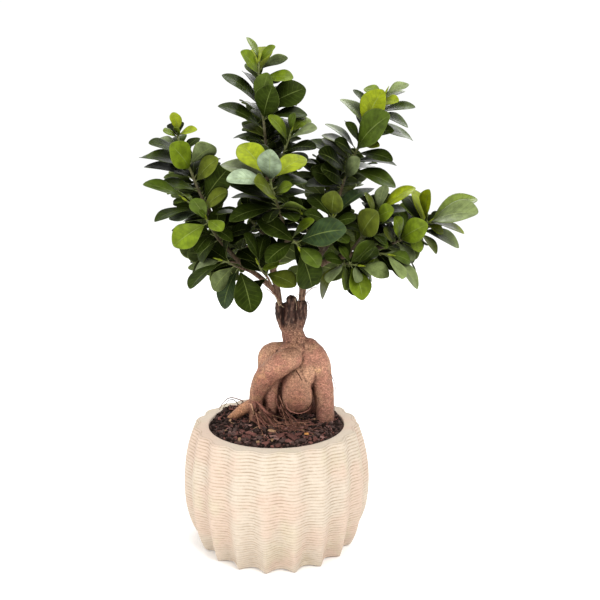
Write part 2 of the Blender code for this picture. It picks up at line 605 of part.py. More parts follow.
def build_pot():
    """The fluted pot: flat foot, bellied wall, plain inside."""
    bm = bmesh.new()
    count = FLUTES * FLUTE_STEPS
    rings = [ring_of(bm, radius, height, depth, count) for radius, height, depth in pot_outline()]
    rings += [ring_of(bm, radius, height, 0.0, count) for radius, height in mouth_outline()]
    skin_rings(bm, rings)
    pot = make_object("pot", bm)
    paint(pot, (0.87, 0.76, 0.62), 0.85)
    pot.data.set_sharp_from_angle(angle=math.radians(40))
    return pot


def build_soil(footings):
    """Potting soil: the pot's inside, flat on top, with a plain hole for each footing of the root."""
    bm = bmesh.new()
    wall = list(reversed(mouth_outline()))
    outline = [(radius - GAP, height) for radius, height in wall[1:]]
    outline.insert(0, (wall[0][0] - GAP, POT_FLOOR + GAP))
    outline.append((POT_MOUTH_RADIUS - GAP, SOIL_TOP - SOIL_EDGE_DROP))
    outline.append((SOIL_FLAT_RADIUS, SOIL_TOP))
    rings = [ring_of(bm, radius * SOIL_FIT, height, 0.0, SOIL_SIDES) for radius, height in outline]
    skin_rings(bm, rings)
    soil = make_object("soil", bm)
    holes = []
    for place in footings:
        low = Vector((place.x, place.y, SOIL_TOP - PEG_DEPTH - GAP))
        high = Vector((place.x, place.y, SOIL_TOP + PEG_DEPTH))
        holes.append(make_object("hole", cylinder(PEG_RADIUS + GAP, low, high, PEG_SIDES)))
    combine(soil, holes, "DIFFERENCE")
    paint(soil, (0.045, 0.028, 0.02), 0.95)
    return soil


def limb_route(limb, steps):
    """A limb's centre line in space with its radius at each point."""
    route = smooth_route([seen(x, z, depth) for x, z, depth, radius in limb], steps)
    radii = smooth_route([Vector((radius, 0, 0)) for x, z, depth, radius in limb], steps)
    return route, [radius.x for radius in radii]


def root_body():
    """The swollen root before its feet are cut: balls strung along every limb, melted together."""
    bm = bmesh.new()
    for limb in LIMBS.values():
        for point, radius in zip(*limb_route(limb, ROOT_BALL_STEPS)):
            bmesh.ops.create_icosphere(bm, subdivisions=2, radius=radius, matrix=Matrix.Translation(point))
    body = make_object("caudex", bm)
    melt = body.modifiers.new("melt", "REMESH")
    melt.mode = "VOXEL"
    melt.voxel_size = ROOT_VOXEL * MM
    smooth = body.modifiers.new("smooth", "SMOOTH")
    smooth.factor = 0.5
    smooth.iterations = ROOT_SMOOTHING
    apply_modifiers(body)
    thin = body.modifiers.new("thin", "DECIMATE")
    thin.ratio = min(1.0, ROOT_TRIANGLES / (2 * len(body.data.polygons)))
    apply_modifiers(body)
    return body


def strand_tube(strand):
    """A thin root lying half sunk on the soil."""
    lift = SOIL_TOP + GAP
    route = smooth_route([Vector((x, y, lift + half * STRAND_SINK)) for x, y, half in strand], 2)
    radii = [radius.x for radius in smooth_route([Vector((half, 0, 0)) for x, y, half in strand], 2)]
    return tube_mesh(route, directions(route), radii, STRAND_SIDES)


def footing_places():
    """Where the weight-bearing limbs meet the soil."""
    places = []
    for name in FOOTINGS:
        x, z, depth, radius = LIMBS[name][-1]
        places.append(seen(x, z, depth))
    return places


def build_caudex(sockets, footings):
    """The swollen root: one grown piece with legs on the soil, a neck and the cut crown."""
    caudex = root_body()
    combine(caudex, [make_object("strand", strand_tube(strand)) for strand in STRANDS], "UNION", "MANIFOLD")
    below = bmesh.new()
    side = 4 * POT_BELLY_RADIUS
    bmesh.ops.create_cube(below, size=side, matrix=Matrix.Translation((0, 0, SOIL_TOP + GAP - side / 2)))
    combine(caudex, [make_object("below", below), *sockets], "DIFFERENCE", "MANIFOLD")
    pegs = []
    for place in footings:
        low = Vector((place.x, place.y, SOIL_TOP - PEG_DEPTH))
        high = Vector((place.x, place.y, SOIL_TOP + PEG_OVERLAP))
        pegs.append(make_object("peg", cylinder(PEG_RADIUS, low, high, PEG_SIDES)))
    combine(caudex, pegs, "UNION", "MANIFOLD")
    paint(caudex, (0.42, 0.22, 0.13), 0.7)
    caudex.data.shade_smooth()
    return caudex


def shoot_axis(shoot):
    """The whole centre line of a shoot, its headings, and where its wood ends and its own node starts."""
    route = smooth_route([seen(*point) for point in shoot["route"]], STEM_STEPS)
    cut = max(1, round(shoot["wood"] * (len(route) - 1)))
    return route, directions(route), cut


def shoot_radii(shoot, count):
    """The stem's radius at each point of its centre line."""
    thick, thin = shoot["radius"]
    return [thick + (thin - thick) * step / (count - 1) for step in range(count)]


def stem_mesh(shoot):
    """The shoot's own stem, from just past the end of its wood to its tip."""
    route, headings, cut = shoot_axis(shoot)
    radii = shoot_radii(shoot, len(route))
    start = route[cut] + headings[cut] * GAP
    return tube_mesh([start, *route[cut + 1:]], headings[cut:], radii[cut:], STEM_SIDES)


def branch_tubes(node):
    """All the wood of a branch node: its limbs and the first stretch of every shoot it carries."""
    tubes = []
    for limb in BRANCHES[node].values():
        route, radii = limb_route(limb, 1)
        tubes.append(tube_mesh(route, directions(route), radii, BRANCH_SIDES))
    for shoot in SHOOTS.values():
        if shoot["node"] == node:
            route, headings, cut = shoot_axis(shoot)
            radii = shoot_radii(shoot, len(route))
            tubes.append(tube_mesh(route[:cut + 1], headings[:cut + 1], radii[:cut + 1], STEM_SIDES))
    return tubes


class Leaf:
    """A leaf's place: its stalk's root on a stem's axis, its tip, the way its upper side faces, its width."""

    def __init__(self, root, tip, upper, width=LEAF_WIDTH, arch=LEAF_ARCH):
        self.root = root
        self.tip = tip
        self.along = (tip - root).normalized()
        self.upper = (upper - self.along * upper.dot(self.along)).normalized()
        self.across = self.along.cross(self.upper)
        self.length = (tip - root).length
        self.half_width = 0.5 * width * self.length
        self.arch = arch

    def point(self, share, side, lift=0.0, spread=0.0):
        """A point of the blade: share of the way to the tip, -1 to 1 across, and lift off its middle."""
        rise = 4 * share * (1 - share) * self.arch * self.length
        half = self.half_width * leaf_outline(share) + spread
        fold = LEAF_FOLD * half * abs(side)
        return (self.root + self.along * (share * self.length) + self.across * (side * half)
                + self.upper * (rise + fold + lift))


def leaf_outline(share):
    """Half the blade's width, as a share of its widest, at a share of the leaf's length."""
    if share < STALK_SHARE:
        return 0.0
    reach = (share - STALK_SHARE) / (1 - STALK_SHARE)
    return math.sin(math.pi * reach ** LEAF_TIPWARD) ** LEAF_FULLNESS


def leaf_mesh(leaf, grown=0.0, stalk=True):
    """Vertices and triangles of a leaf: a closed blade with a keel below, three corners to a section.

    Grown by 1 it takes up the room kept round it; without its stalk it ends where the blade starts.
    """
    points = []
    for share in STATIONS:
        spread = CLEAR_SPREAD * grown + (STALK_WIDTH / 2 if share == STALK_SHARE else 0.0)
        points.append(leaf.point(share, -1, CLEAR_LIFT * grown, spread))
        points.append(leaf.point(share, 1, CLEAR_LIFT * grown, spread))
        points.append(leaf.point(share, 0, -BLADE_THICKNESS - CLEAR_SPREAD * grown))
    tip = len(points)
    points.append(leaf.point(1, 0) + leaf.along * (CLEAR_TIP * grown))
    points.append(leaf.root - leaf.along * STALK_SINK if stalk else leaf.point(STALK_SHARE, 0))
    faces = []
    last = tip - 3
    for corner in range(3):
        follow = (corner + 1) % 3
        faces.append((tip + 1, follow, corner))
        for low in range(0, last, 3):
            faces.append((low + corner, low + follow, low + 3 + follow))
            faces.append((low + corner, low + 3 + follow, low + 3 + corner))
        faces.append((last + corner, last + follow, tip))
    return points, faces


def tree_of(points, faces):
    """A search tree over triangles, for finding what crosses them."""
    return BVHTree.FromPolygons([tuple(point) for point in points], faces, all_triangles=True)


def mesh_tree(bm):
    """The search tree of a mesh, which is then freed."""
    bm.verts.index_update()
    points = [vert.co.copy() for vert in bm.verts]
    faces = [tuple(vert.index for vert in face.verts) for face in bm.faces]
    bm.free()
    return tree_of(points, faces)


class Crowd:
    """What has been placed, to keep each new leaf clear of it."""

    def __init__(self):
        self.solids = []
        self.leaves = []

    def add_wood(self, bm, owner):
        self.solids.append((mesh_tree(bm), owner))

    def add_leaf(self, leaf, owner):
        self.leaves.append((leaf, owner, tree_of(*leaf_mesh(leaf)), tree_of(*leaf_mesh(leaf, 0, False))))

    def crosses(self, leaf, owner):
        """True where the leaf would touch anything but the stem that it grows from."""
        whole = tree_of(*leaf_mesh(leaf, 1))
        blade = tree_of(*leaf_mesh(leaf, 1, False))
        for tree, other in self.solids:
            if (blade if other == owner else whole).overlap(tree):
                return True
        middle = (leaf.root + leaf.tip) / 2
        for placed, other, full, bare in self.leaves:
            reach = (placed.length + leaf.length) * NEIGHBOUR_REACH
            if ((placed.root + placed.tip) / 2 - middle).length > reach:
                continue
            if other == owner and blade.overlap(bare):
                return True
            if other != owner and whole.overlap(full):
                return True
        return False


def stem_points(route, cut):
    """Points along a stem, past its wood, from which leaves can grow."""
    points = []
    for start, end in zip(route[cut:], route[cut + 1:]):
        points += [start.lerp(end, (step + 0.5) / 4) for step in range(4)]
    return points


def nearest_to(points, x, z):
    """The point that the viewer sees nearest to (x, z) of the front plane."""
    return min(points, key=lambda point: math.dist(flattened(point), (x, z)))


def seen_leaf(root, reading, shift, squareness):
    """A leaf from its reading: its tip's depth follows from its length, plus a shift that keeps the view."""
    stalk_x, stalk_z, tip_x, tip_z, length, side, shown = reading
    flat = seen(tip_x, tip_z, root.y)
    spare = length ** 2 - (flat - root).length_squared
    lean = side * math.sqrt(max(spare, 0.0))
    tip = seen(tip_x, tip_z, root.y + lean + shift)
    along = (tip - root).normalized()
    to_eye = EYE - (root + tip) / 2
    facing = (to_eye - along * to_eye.dot(along)).normalized()
    sideways = facing.cross(along)
    if sideways.z < 0:
        sideways = -sideways
    shown *= squareness
    upper = facing * shown + sideways * math.sqrt(1 - shown ** 2)
    return Leaf(root, tip, upper)


def rule_leaf(route, headings, cut, share, turn, rng):
    """A leaf placed by rule: a share along the stem, turned round it, lower ones spreading wider."""
    place = cut + share * (len(route) - 1 - cut)
    index = min(int(place), len(route) - 2)
    root = route[index].lerp(route[index + 1], place - index)
    heading = headings[index]
    outward = Matrix.Rotation(turn, 3, heading) @ heading.orthogonal().normalized()
    spread = BASE_SPREAD + (TIP_SPREAD - BASE_SPREAD) * share + rng.uniform(-SPREAD_PLAY, SPREAD_PLAY)
    along = heading * math.cos(spread) + outward * math.sin(spread)
    along.z -= DROOP
    length = rng.uniform(*RULE_LENGTHS) * (1 - TIP_SHORTENING * share ** 3)
    upper = heading + outward * FACE_OUT + Vector((0, 0, FACE_UP))
    return Leaf(root, root + along.normalized() * length, upper, arch=rng.uniform(*RULE_ARCHES))


def in_light_gap(leaf):
    """True where the leaf would fill a place where light shows through."""
    for share in LIGHT_SHARES:
        flat_x, flat_z = flattened(leaf.point(share, 0))
        for x, z, radius in LIGHT_GAPS:
            if math.hypot(flat_x - x, flat_z - z) < radius + leaf.half_width / 2:
                return True
    return False


def standing_wood():
    """A crowd of all the stems and the root's crown, before any leaf is placed."""
    crowd = Crowd()
    for node in BRANCHES:
        for bm in branch_tubes(node):
            crowd.add_wood(bm, node)
    for limb in ("stump", "left_lobe", "right_lobe"):
        route, radii = limb_route(LIMBS[limb], 2)
        crowd.add_wood(tube_mesh(route, directions(route), [radius + 1 for radius in radii], 7), "caudex")
    for name, shoot in SHOOTS.items():
        crowd.add_wood(stem_mesh(shoot), name)
    return crowd


def place_read_leaves(crowd, placed):
    """The leaves that were read, each at the first place tried where it touches nothing."""
    for name, shoot in SHOOTS.items():
        route, headings, cut = shoot_axis(shoot)
        points = stem_points(route, cut)
        for reading in shoot["leaves"]:
            for slide, facing, shift in itertools.product(STALK_SLIDES, FACINGS, TIP_SHIFTS):
                root = nearest_to(points, reading[0], reading[1] + slide)
                leaf = seen_leaf(root, reading, shift, facing)
                if leaf.length < LONGEST * reading[4] and not crowd.crosses(leaf, name):
                    crowd.add_leaf(leaf, name)
                    placed[name].append(leaf)
                    break


def place_rule_leaves(crowd, placed, counts, rng):
    """More leaves in each shoot, from its tip down; where others were read, only on the far side."""
    for name, shoot in SHOOTS.items():
        route, headings, cut = shoot_axis(shoot)
        turn = rng.uniform(0, 2 * math.pi)
        for slot in range(counts[name]):
            turn += GOLDEN_ANGLE
            highest = HIGHEST_SHARE - (HIGHEST_SHARE - LOWEST_SHARE) * slot / counts[name]
            for attempt, nudge in enumerate(RULE_TURNS):
                share = max(0.0, highest - SHARE_STEP * attempt)
                leaf = rule_leaf(route, headings, cut, share, turn + nudge, rng)
                if shoot["leaves"] and leaf.tip.y < leaf.root.y:
                    continue
                if in_light_gap(leaf) or crowd.crosses(leaf, name):
                    continue
                crowd.add_leaf(leaf, name)
                placed[name].append(leaf)
                break


def place_leaves():
    """Every shoot's leaves, kept clear of each other."""
    crowd = standing_wood()
    placed = {name: [] for name in SHOOTS}
    place_read_leaves(crowd, placed)
    counts = {name: shoot["fill"] for name, shoot in SHOOTS.items()}
    place_rule_leaves(crowd, placed, counts, random.Random(SEED))
    return placed


def build_shoot(name, leaves):
    """One leafy shoot: its stem with the leaves fused to it."""
    stem = make_object(name, stem_mesh(SHOOTS[name]))
    blades = []
    for leaf in leaves:
        points, faces = leaf_mesh(leaf)
        bm = bmesh.new()
        verts = [bm.verts.new(point) for point in points]
        for face in faces:
            bm.faces.new([verts[index] for index in face])
        bmesh.ops.recalc_face_normals(bm, faces=bm.faces)
        blades.append(make_object("blade", bm))
    combine(stem, blades, "UNION")
    paint(stem, (0.045, 0.11, 0.02), 0.35)
    return stem


def build_branch(node):
    """The wood of one graft: its limbs and twigs in one body."""
    tubes = branch_tubes(node)
    wood = make_object(node, tubes[0])
    combine(wood, [make_object("twig", tube) for tube in tubes[1:]], "UNION")
    paint(wood, (0.30, 0.19, 0.12), 0.75)
    wood.data.shade_smooth()
    return wood


def socket_cutters():
    """A round socket in the root's crown for the foot of each graft."""
    cutters = []
    for node in BRANCHES:
        route, radii = limb_route(BRANCHES[node]["main"], 1)
        heading = (route[1] - route[0]).normalized()
        low = route[0] - heading * GAP
        radius = (radii[0] + GAP) / math.cos(math.pi / SOCKET_SIDES)
        high = low + heading * SOCKET_LENGTH
        cutters.append(make_object("socket", cylinder(radius, low, high, SOCKET_SIDES)))
    return cutters


def main():
    clear_scene()
    footings = footing_places()
    build_pot()
    build_soil(footings)
    build_caudex(socket_cutters(), footings)
    for node in BRANCHES:
        build_branch(node)
    placed = place_leaves()
    for name in SHOOTS:
        build_shoot(name, placed[name])


main()
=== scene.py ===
"""Ginseng ficus in a fluted pot: the finished surfaces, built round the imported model.

The layout of the leafy shoots repeats the part's own rule and readings, so that every leaf of the
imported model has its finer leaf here. Lengths are in millimetres until a mesh is written, in metres.
The origin is the middle of the pot's foot, +Z is up and the viewer stands on -Y.
"""

import itertools
import math
import random

import bmesh
import bpy
from bpy.props import FloatProperty, FloatVectorProperty, IntProperty, PointerProperty
from mathutils import Matrix, Vector, noise
from mathutils.bvhtree import BVHTree


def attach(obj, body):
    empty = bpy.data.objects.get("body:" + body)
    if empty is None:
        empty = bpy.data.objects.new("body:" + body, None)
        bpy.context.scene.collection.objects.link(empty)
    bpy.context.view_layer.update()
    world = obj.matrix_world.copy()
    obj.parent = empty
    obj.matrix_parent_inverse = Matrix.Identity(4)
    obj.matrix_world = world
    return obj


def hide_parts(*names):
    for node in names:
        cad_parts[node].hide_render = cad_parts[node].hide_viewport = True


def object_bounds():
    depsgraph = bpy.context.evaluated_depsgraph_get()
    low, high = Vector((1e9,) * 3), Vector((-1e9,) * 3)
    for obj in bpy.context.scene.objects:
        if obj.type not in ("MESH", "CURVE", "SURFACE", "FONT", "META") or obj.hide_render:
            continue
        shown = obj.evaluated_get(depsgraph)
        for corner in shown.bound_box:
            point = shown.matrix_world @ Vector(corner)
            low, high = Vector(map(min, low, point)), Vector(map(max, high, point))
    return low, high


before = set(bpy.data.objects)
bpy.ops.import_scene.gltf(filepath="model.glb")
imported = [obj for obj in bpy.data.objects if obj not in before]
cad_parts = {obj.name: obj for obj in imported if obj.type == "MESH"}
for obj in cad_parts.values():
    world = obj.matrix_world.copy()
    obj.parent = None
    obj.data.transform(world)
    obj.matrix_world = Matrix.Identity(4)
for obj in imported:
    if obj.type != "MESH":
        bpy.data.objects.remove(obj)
CAD_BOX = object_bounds()

bl_info = {
    "name": "Ginseng ficus",
    "version": (1, 0, 0),
    "blender": (4, 5, 0),
    "location": "View3D > Sidebar > Ficus",
    "description": "Builds a potted ginseng ficus: pot, soil, swollen root, grafts and leafy shoots",
    "category": "Add Mesh",
}

MM = 0.001
GAP = 0.3
BODY = "root"

# Pot; its wobble and ripple, like every relief, are a height and a width across and along
POT_HEIGHT = 104.0
POT_BELLY_RADIUS = 80.2
POT_BELLY_HEIGHT = 56.5
POT_FOOT_RADIUS = 65.8
POT_MOUTH_RADIUS = 57.8
POT_BELLY_POWER = 2.1
POT_SHOULDER = 2.5
POT_WALL = 5.0
POT_FLOOR = 6.0
MOUTH_DEPTH = 8.0
MOUTH_WIDEST = 66.5
FLUTES = 20
FLUTE_TURN = math.radians(-5.4)
FLUTE_STRAIGHT = 75.0
FLUTE_DEPTH_FOOT = 9.2
FLUTE_DEPTH_BELLY = 3.3
FLUTE_CREST_SOFTNESS = 0.15
CRESTS_ROUND_OFF = (4.0, 42.0)
WALL_INSET = 0.1
STEPS_PER_FLUTE = 14
FOOT_ROUND = 1.2
LIP_ROUND = 1.0
WALL_FINENESS = 1.0
BEADS_ON_TOP = 3.0
BEAD_STATIONS = (0.0, 0.1, 0.25, 0.5, 0.75, 0.9)
BEAD_ROUNDNESS = 0.6
BEAD_WOBBLE = (0.45, 12.0, 20.0)
WOBBLE_HEIGHTS = (1.0, 5.0, 98.0, 102.0)
CREST_FILL = 0.5
RIPPLE_FILL = (0.7, 7.0, 1.75)
# How much of the grooves' painted shade is kept on a flute's crest, against its valley
CREST_SHADE = 0.7

# Soil
SOIL_TOP = 101.0
SOIL_RISE = 2.0
SOIL_EDGE_DROP = 0.7
SOIL_EDGE = (51.0, 57.0)
SOIL_RAGGED = (1.2, 7)
SOIL_CRUMBLE = (0.7, 2.1, 4)
SOIL_CRUMBLE_SIZE = 2.6
SOIL_STEPS = 120
SOIL_RINGS = 40
SOIL_MOUNDS = [(-42, 27, 4.5, 9.0), (-30, 40, 3.0, 9.0), (46, 23, 4.5, 8.0), (38, 36, 2.5, 9.0),
               (-6, 40, 1.5, 14.0), (24, -34, 0.8, 12.0)]
SOIL_LUMPS = [(0.7, 14, 3), (0.9, 5, 9)]

# Litter on the soil: its room to the mouth, and the sizes it is drawn from
CRUMB_MARGIN = 2.2
CRUMB_SIZES = (0.4, 2.3, 0.8)
CRUMB_SQUASH = ((0.6, 1), (0.5, 0.9))
CRUMB_TILT = 0.8
CRUMB_BREAK = 0.22
CHIP_MARGIN = 6.0
CHIP_SIZES = (2.0, 6.0)
CHIP_SQUASH = ((0.4, 0.7), (0.15, 0.28))
CHIP_TILT = 0.45
CHIP_BEVEL = 0.16
CHIP_BREAK = 0.28
CHIP_WARP = 0.036
CHIP_WAVE = 1.3
LYING = 0.35
FIBRE_STEP = 2.2
FIBRE_BEND = 0.5
FIBRE_LIFT = (0.3, 1.3)
FIBRE_RADII = [0.18, 0.28, 0.3, 0.25, 0.12]
STRAND_MARGIN = 3.0

# The viewer's eye, from which the plant's outline was measured on the plane y = 0
EYE = Vector((20.2, -618.0, 331.0))
EYE_PITCH = math.radians(11.0)

# Root
ROOT_BALL_STEPS = 9
CROWN_LOW = 182.0
CROWN_HIGH = 194.0
WOOD_SWELL = 1.12
FURROW_DEPTH = 2.4
# How strongly the crown's furrows are painted with shade
FURROW_SHADE = 2.0
FURROW_SWAY = (0.8, 4.0, 4.0)
FURROW_EDGE = (0.4, 1.0)
FURROW_FADE = 3.0
# How sunk a vertex must be for the full painted shade of a fold, and how far that shade spreads to its
# neighbours
CREASE_REACH = 0.1
CREASE_SPREADS = 3

# Relief of the root's bark; that of the folds and pocks is a share of the wrinkles' depth
SWELL_WIDE = (0.55, 11.0, 11.0)
SWELL_SMALL = (0.3, 5.0, 5.0)
SWELL_SHIFT = Vector((45.0, 0.0, 0.0))
FOLDS_LONG = (0.9, 2.2, 9.0)
FOLDS_FINE = (0.4, 2.2 / 2.3, 9.0 / 2.3)
POCKS = (0.35, 1.7, 1.7)
POCK_LEVEL = 0.0875
NECK_KNOTS = (0.5, 1.9, 1.9)
NECK_HEIGHTS = (168.0, 178.0)
CROWN_EDGE = (3.0, 6.0, 6.0)
CROWN_RIDGES = (0.9, 2.6, 12.0)
RIDGE_LEVEL = 0.36
CROWN_GRAIN = (0.55, 1.6, 1.6)

# Relief of the grafts' bark
WOOD_KNOTS = (0.28, 3.5, 3.5)
WOOD_GRAIN = (0.16, 0.9, 2.7)

# Fine roots round the knee, and how any thin root sways and tapers
TANGLE_HEADINGS = (-1.4, 0.35, -0.12)
TANGLE_SPREAD = ((-4, 4), (-3, 2), (-6, 4))
TANGLE_STEPS = 6
TANGLE_LIFT = (0.3, 2.2)
TANGLE_FALL = 2.0
TANGLE_REACH = (4.0, 7.5)
TANGLE_BEND = (-0.28, 0.32)
TANGLE_RADII = (0.2, 0.28, 0.36, 0.5)
ROOTLET_SWAY = 0.5
ROOTLET_TAPER = 0.6

# Where the root's and the grafts' colours change, and where shade is painted on the arm and belly in front
# and on the twigs among the leaves, in metres: height, or distance along X or Y
LEG_TINT_Z = (0.112, 0.150)
FOOT_TINT_X = (-0.030, -0.019)
ARM_SHADE_Y = (-0.005, -0.015)
ARM_SHADE_Z = (0.144, 0.160)
NECK_TINT_Z = (0.160, 0.180)
CROWN_TINT_Z = (0.181, 0.193)
TWIG_SHADE_Z = (0.225, 0.255)

# The part of a noise's reach over which it shades a colour, and the rays that tell how open a place is, where
# shade is painted in the root's hollows and between leaves
SHADE_SPAN = (0.25, 0.75)
OPENNESS_SAMPLES = 4

# Stems, and the tubes that stand for them and for the root's crown while leaves are placed
BRANCH_SIDES = 5
STEM_SIDES = 4
STEM_STEPS = 2
CROWN_SIDES = 7
CROWN_ROOM = 1
STALKS_PER_STRETCH = 4

# Leaves: shares and ratios are of the leaf's own length unless they say otherwise
BLADE_THICKNESS = 1.5
LEAF_WIDTH = 0.6
LEAF_ARCH = 0.09
LEAF_FOLD = 0.16
LEAF_TIPWARD = 1.4
LEAF_FULLNESS = 0.7
STALK_SHARE = 0.12
STALK_WIDTH = 2.0
STALK_SINK = 0.5
STATIONS = (STALK_SHARE, 0.45, 0.82)

# Room kept round a leaf when it is placed
CLEAR_LIFT = 0.33
CLEAR_SPREAD = 1.21
CLEAR_TIP = 1.1
NEIGHBOUR_REACH = 0.62

# Places tried for a read leaf, in the part's own order
TIP_SHIFTS = (0.0, 4.0, -4.0, 8.0, -8.0, 12.0, -12.0, 16.0, -16.0, 20.0, -20.0)
STALK_SLIDES = (0.0, -4.0, 4.0, -8.0, 8.0, -12.0, 12.0)
FACINGS = (1.0, 0.75, 0.5)
LONGEST = 1.2
LATE_LONGEST = 1.5

# Leaves placed by rule, from the shoot's tip down
SEED = 7
GOLDEN_ANGLE = math.radians(137.5)
TIP_SPREAD = math.radians(34)
BASE_SPREAD = math.radians(76)
SPREAD_PLAY = math.radians(8)
LOWEST_SHARE = 0.06
HIGHEST_SHARE = 0.97
SHARE_STEP = 0.02
RULE_TURNS = (0.0, 0.3, -0.3, 0.6, -0.6, 0.9, -0.9, 1.3, -1.3)
RULE_LENGTHS = (28.0, 35.0)
TIP_SHORTENING = 0.35
RULE_ARCHES = (0.06, 0.13)
DROOP = 0.12
FACE_OUT = -0.15
FACE_UP = 0.5
LIGHT_SHARES = (0.4, 0.6, 0.8, 1.0)

# Tones of those leaves: from a share of the stem on, and there above an amount of light; black low on the
# stem is painted shade inside the shoot
RULE_TONES = [
    (0.86, ((0.65, "l"), (-1.0, "m"))),
    (0.6, ((0.6, "m"), (-1.0, "d"))),
    (-1.0, ((0.93, "o"), (0.85, "m"), (0.45, "d"), (-1.0, "k"))),
]

# More leaves by the same rule, which thicken the crown between those of the part
EXTRA_SEED = 23
EXTRA_GROWN = 0.0
EXTRA_LENGTHS = (24.0, 34.0)
NEAR_SHARE = 0.95
# Mostly black and dark, as painted shade inside the crown
EXTRA_TONES = "kkdddkm"
# Shoots whose tip lies this far behind get lighter tones, as painted light on the far side
BEHIND = 35.0
BEHIND_TONES = "kddmmol"
HIDING = 0.7
LEAST_REACH = 0.25
BOX_SHARES = (0.45, 0.7, 0.9, 1.0)
BOX_EDGE = 1.0
BOX_MARGIN = 1.3
BOX_SPARE = 0.3
CROWN_STANDS_FREE = (-15.0, 45.0, 222.0)

# The shape of a finished blade
BLADE_ACROSS = 4
BLADE_ROWS = (STALK_SHARE, 0.22, 0.37, 0.53, 0.68, 0.81, 0.91, 1.0)
TIP_ROUND = 0.035
TIP_WIDTH_SHARE = 0.965
BLADE_BASE_HALF = 0.7
FOLD_SOFTNESS = 1.4
PETIOLE_RADIUS = 0.55
PETIOLE_TAPER = (1.25, 1.0, 0.8)
PETIOLE_REACH = 1.25
STEM_ROUND_SIDES = 7
BUD_LENGTH = 8.0
BUD_SHARES = (0.3, 0.7, 1.0)
BUD_SWELL = (1.1, 1.35, 0.8)
BUD_POINT = 0.12
VEINS = 10.0
VEIN_SLANT = 1.7
UNDER_SLOT = 1
UNDER_FACING = -0.2
STEM_SLOT = 2
STEM_BROWN = (0.1, 0.8)

# How finished blades differ from one another, drawn in this order
HABITS = {"width": (1.02, 1.16), "fold": (0.7, 1.2), "wave": (0.0, 0.1), "waves": (5, 9), "phase": (0, 6),
          "roll": (-0.02, 0.06)}
LEAF_SHADE_PLAY = 0.14

# Limbs of the root: (x, z, depth, radius) read on the front plane, from the top of each down
LIMBS = {
    "stump": [(13, 210.5, 9, 4.6), (13.6, 202, 9, 5.2), (13.8, 193, 9, 6.6), (14, 184, 9, 9.4),
              (16, 176, 9, 10.2)],
    "left_lobe": [(3.0, 206.5, 9, 3.7), (3.0, 200, 9, 3.9), (4.8, 194, 9, 4.0), (7.5, 188, 9, 4.6)],
    "right_lobe": [(22.1, 207.5, 9, 4.1), (22.0, 200, 9, 4.4), (20.2, 192, 9, 4.6), (17, 186, 9, 6)],
    "chest": [(17, 170, 10, 9.5), (15, 161, 11, 15.5), (16, 151, 12, 17), (19, 145, 13, 16)],
    "right_shoulder": [(27, 169, 9, 10), (33, 158, 7, 12.5), (37.8, 145, 7, 9.8), (40.8, 127, 7, 8.8),
                       (41.8, 111, 7, 8.2), (42, 98, 7, 8.4)],
    "left_shoulder": [(5, 167.5, 15, 8.2), (-4.5, 163, 15, 10.5), (-7, 150, 17, 9.5), (-13, 132, 20, 8.5),
                      (-15, 114, 24, 7.5), (-16, 98, 26, 7.5)],
    "arm": [(13, 160, -9.5, 9.3), (6, 157.3, -11, 10.2), (-3, 150.5, -10, 10), (-11, 141.5, -7, 9),
            (-15.8, 131.5, -3, 6.8), (-17.5, 122, 2, 6.2), (-17, 110, 5, 6.5), (-17, 98, 6, 6.5)],
    "foot": [(-18, 122, 3, 6), (-26, 117, 6, 5.2), (-34, 111.5, 10, 4.4), (-40, 107, 13, 3.2)],
    "inner_leg": [(-1.5, 144, 3, 6.2), (-4.2, 136, 1, 6.4), (-4.6, 129, 1, 6.2), (-4, 120, 2, 5.2),
                  (-5.5, 110, 3, 4.8), (-8, 98, 4, 5.2)],
    "belly": [(17, 148, 2, 9.5), (17, 139, 0, 12), (17.4, 130, -1, 13.3), (17.6, 126.6, -1, 13.3)],
    "back_leg": [(20, 150, 24, 13), (25, 134, 28, 11.5), (28, 116, 31, 9.5), (29, 98, 33, 9)],
    "back_root": [(8, 148, 24, 11), (6, 132, 25, 9.5), (4, 116, 26, 8), (2, 98, 27, 8)],
    "knee_root": [(-16, 117, 3, 5), (-10, 109, 1, 4.2), (-2, 103, -2, 2.8)],
}

# Branch wood: (x, z, depth, radius) from the graft outwards; the first of each node is the main one
BRANCHES = {
    "branch_left": {
        "main": [(3.3, 206, 9, 2.0), (2.6, 214, 9, 2.3), (0, 226, 9, 2.7), (-3, 242, 9, 2.7),
                 (-5, 262, 9, 2.4), (-6, 280, 9, 2.0), (-6, 296, 9, 1.7)],
        "side": [(2.8, 212, 9, 2.0), (-3, 221, 5, 2.0), (-14, 231, -2, 2.0), (-26, 240, -6, 1.9),
                 (-38, 252, -6, 1.8), (-47, 266, -5, 1.7), (-52, 278, -5, 1.6)],
        "front": [(-2, 236, 9, 2.0), (4, 248, -4, 1.8), (9, 259, -14, 1.7), (10, 268, -20, 1.5)],
        "back": [(-3, 240, 9, 2.2), (-8, 254, 26, 1.9), (-10, 266, 44, 1.7), (-11, 276, 58, 1.5)],
    },
    "branch_right": {
        "main": [(22.1, 207, 9, 2.1), (22, 214, 9, 2.5), (23.5, 225, 9, 3.0), (31, 236, 8, 2.6),
                 (43, 244, 6, 2.3), (58, 248, 2, 2.1), (76, 252, -2, 1.9), (92, 257, -4, 1.6)],
        "up": [(25, 228, 9, 2.4), (34, 244, 11, 2.1), (42, 262, 10, 2.0), (48, 280, 8, 1.8),
               (52, 294, 6, 1.6)],
        "back": [(36, 247, 11, 2.0), (42, 256, 28, 1.9), (47, 264, 46, 1.7), (50, 272, 60, 1.5)],
    },
}

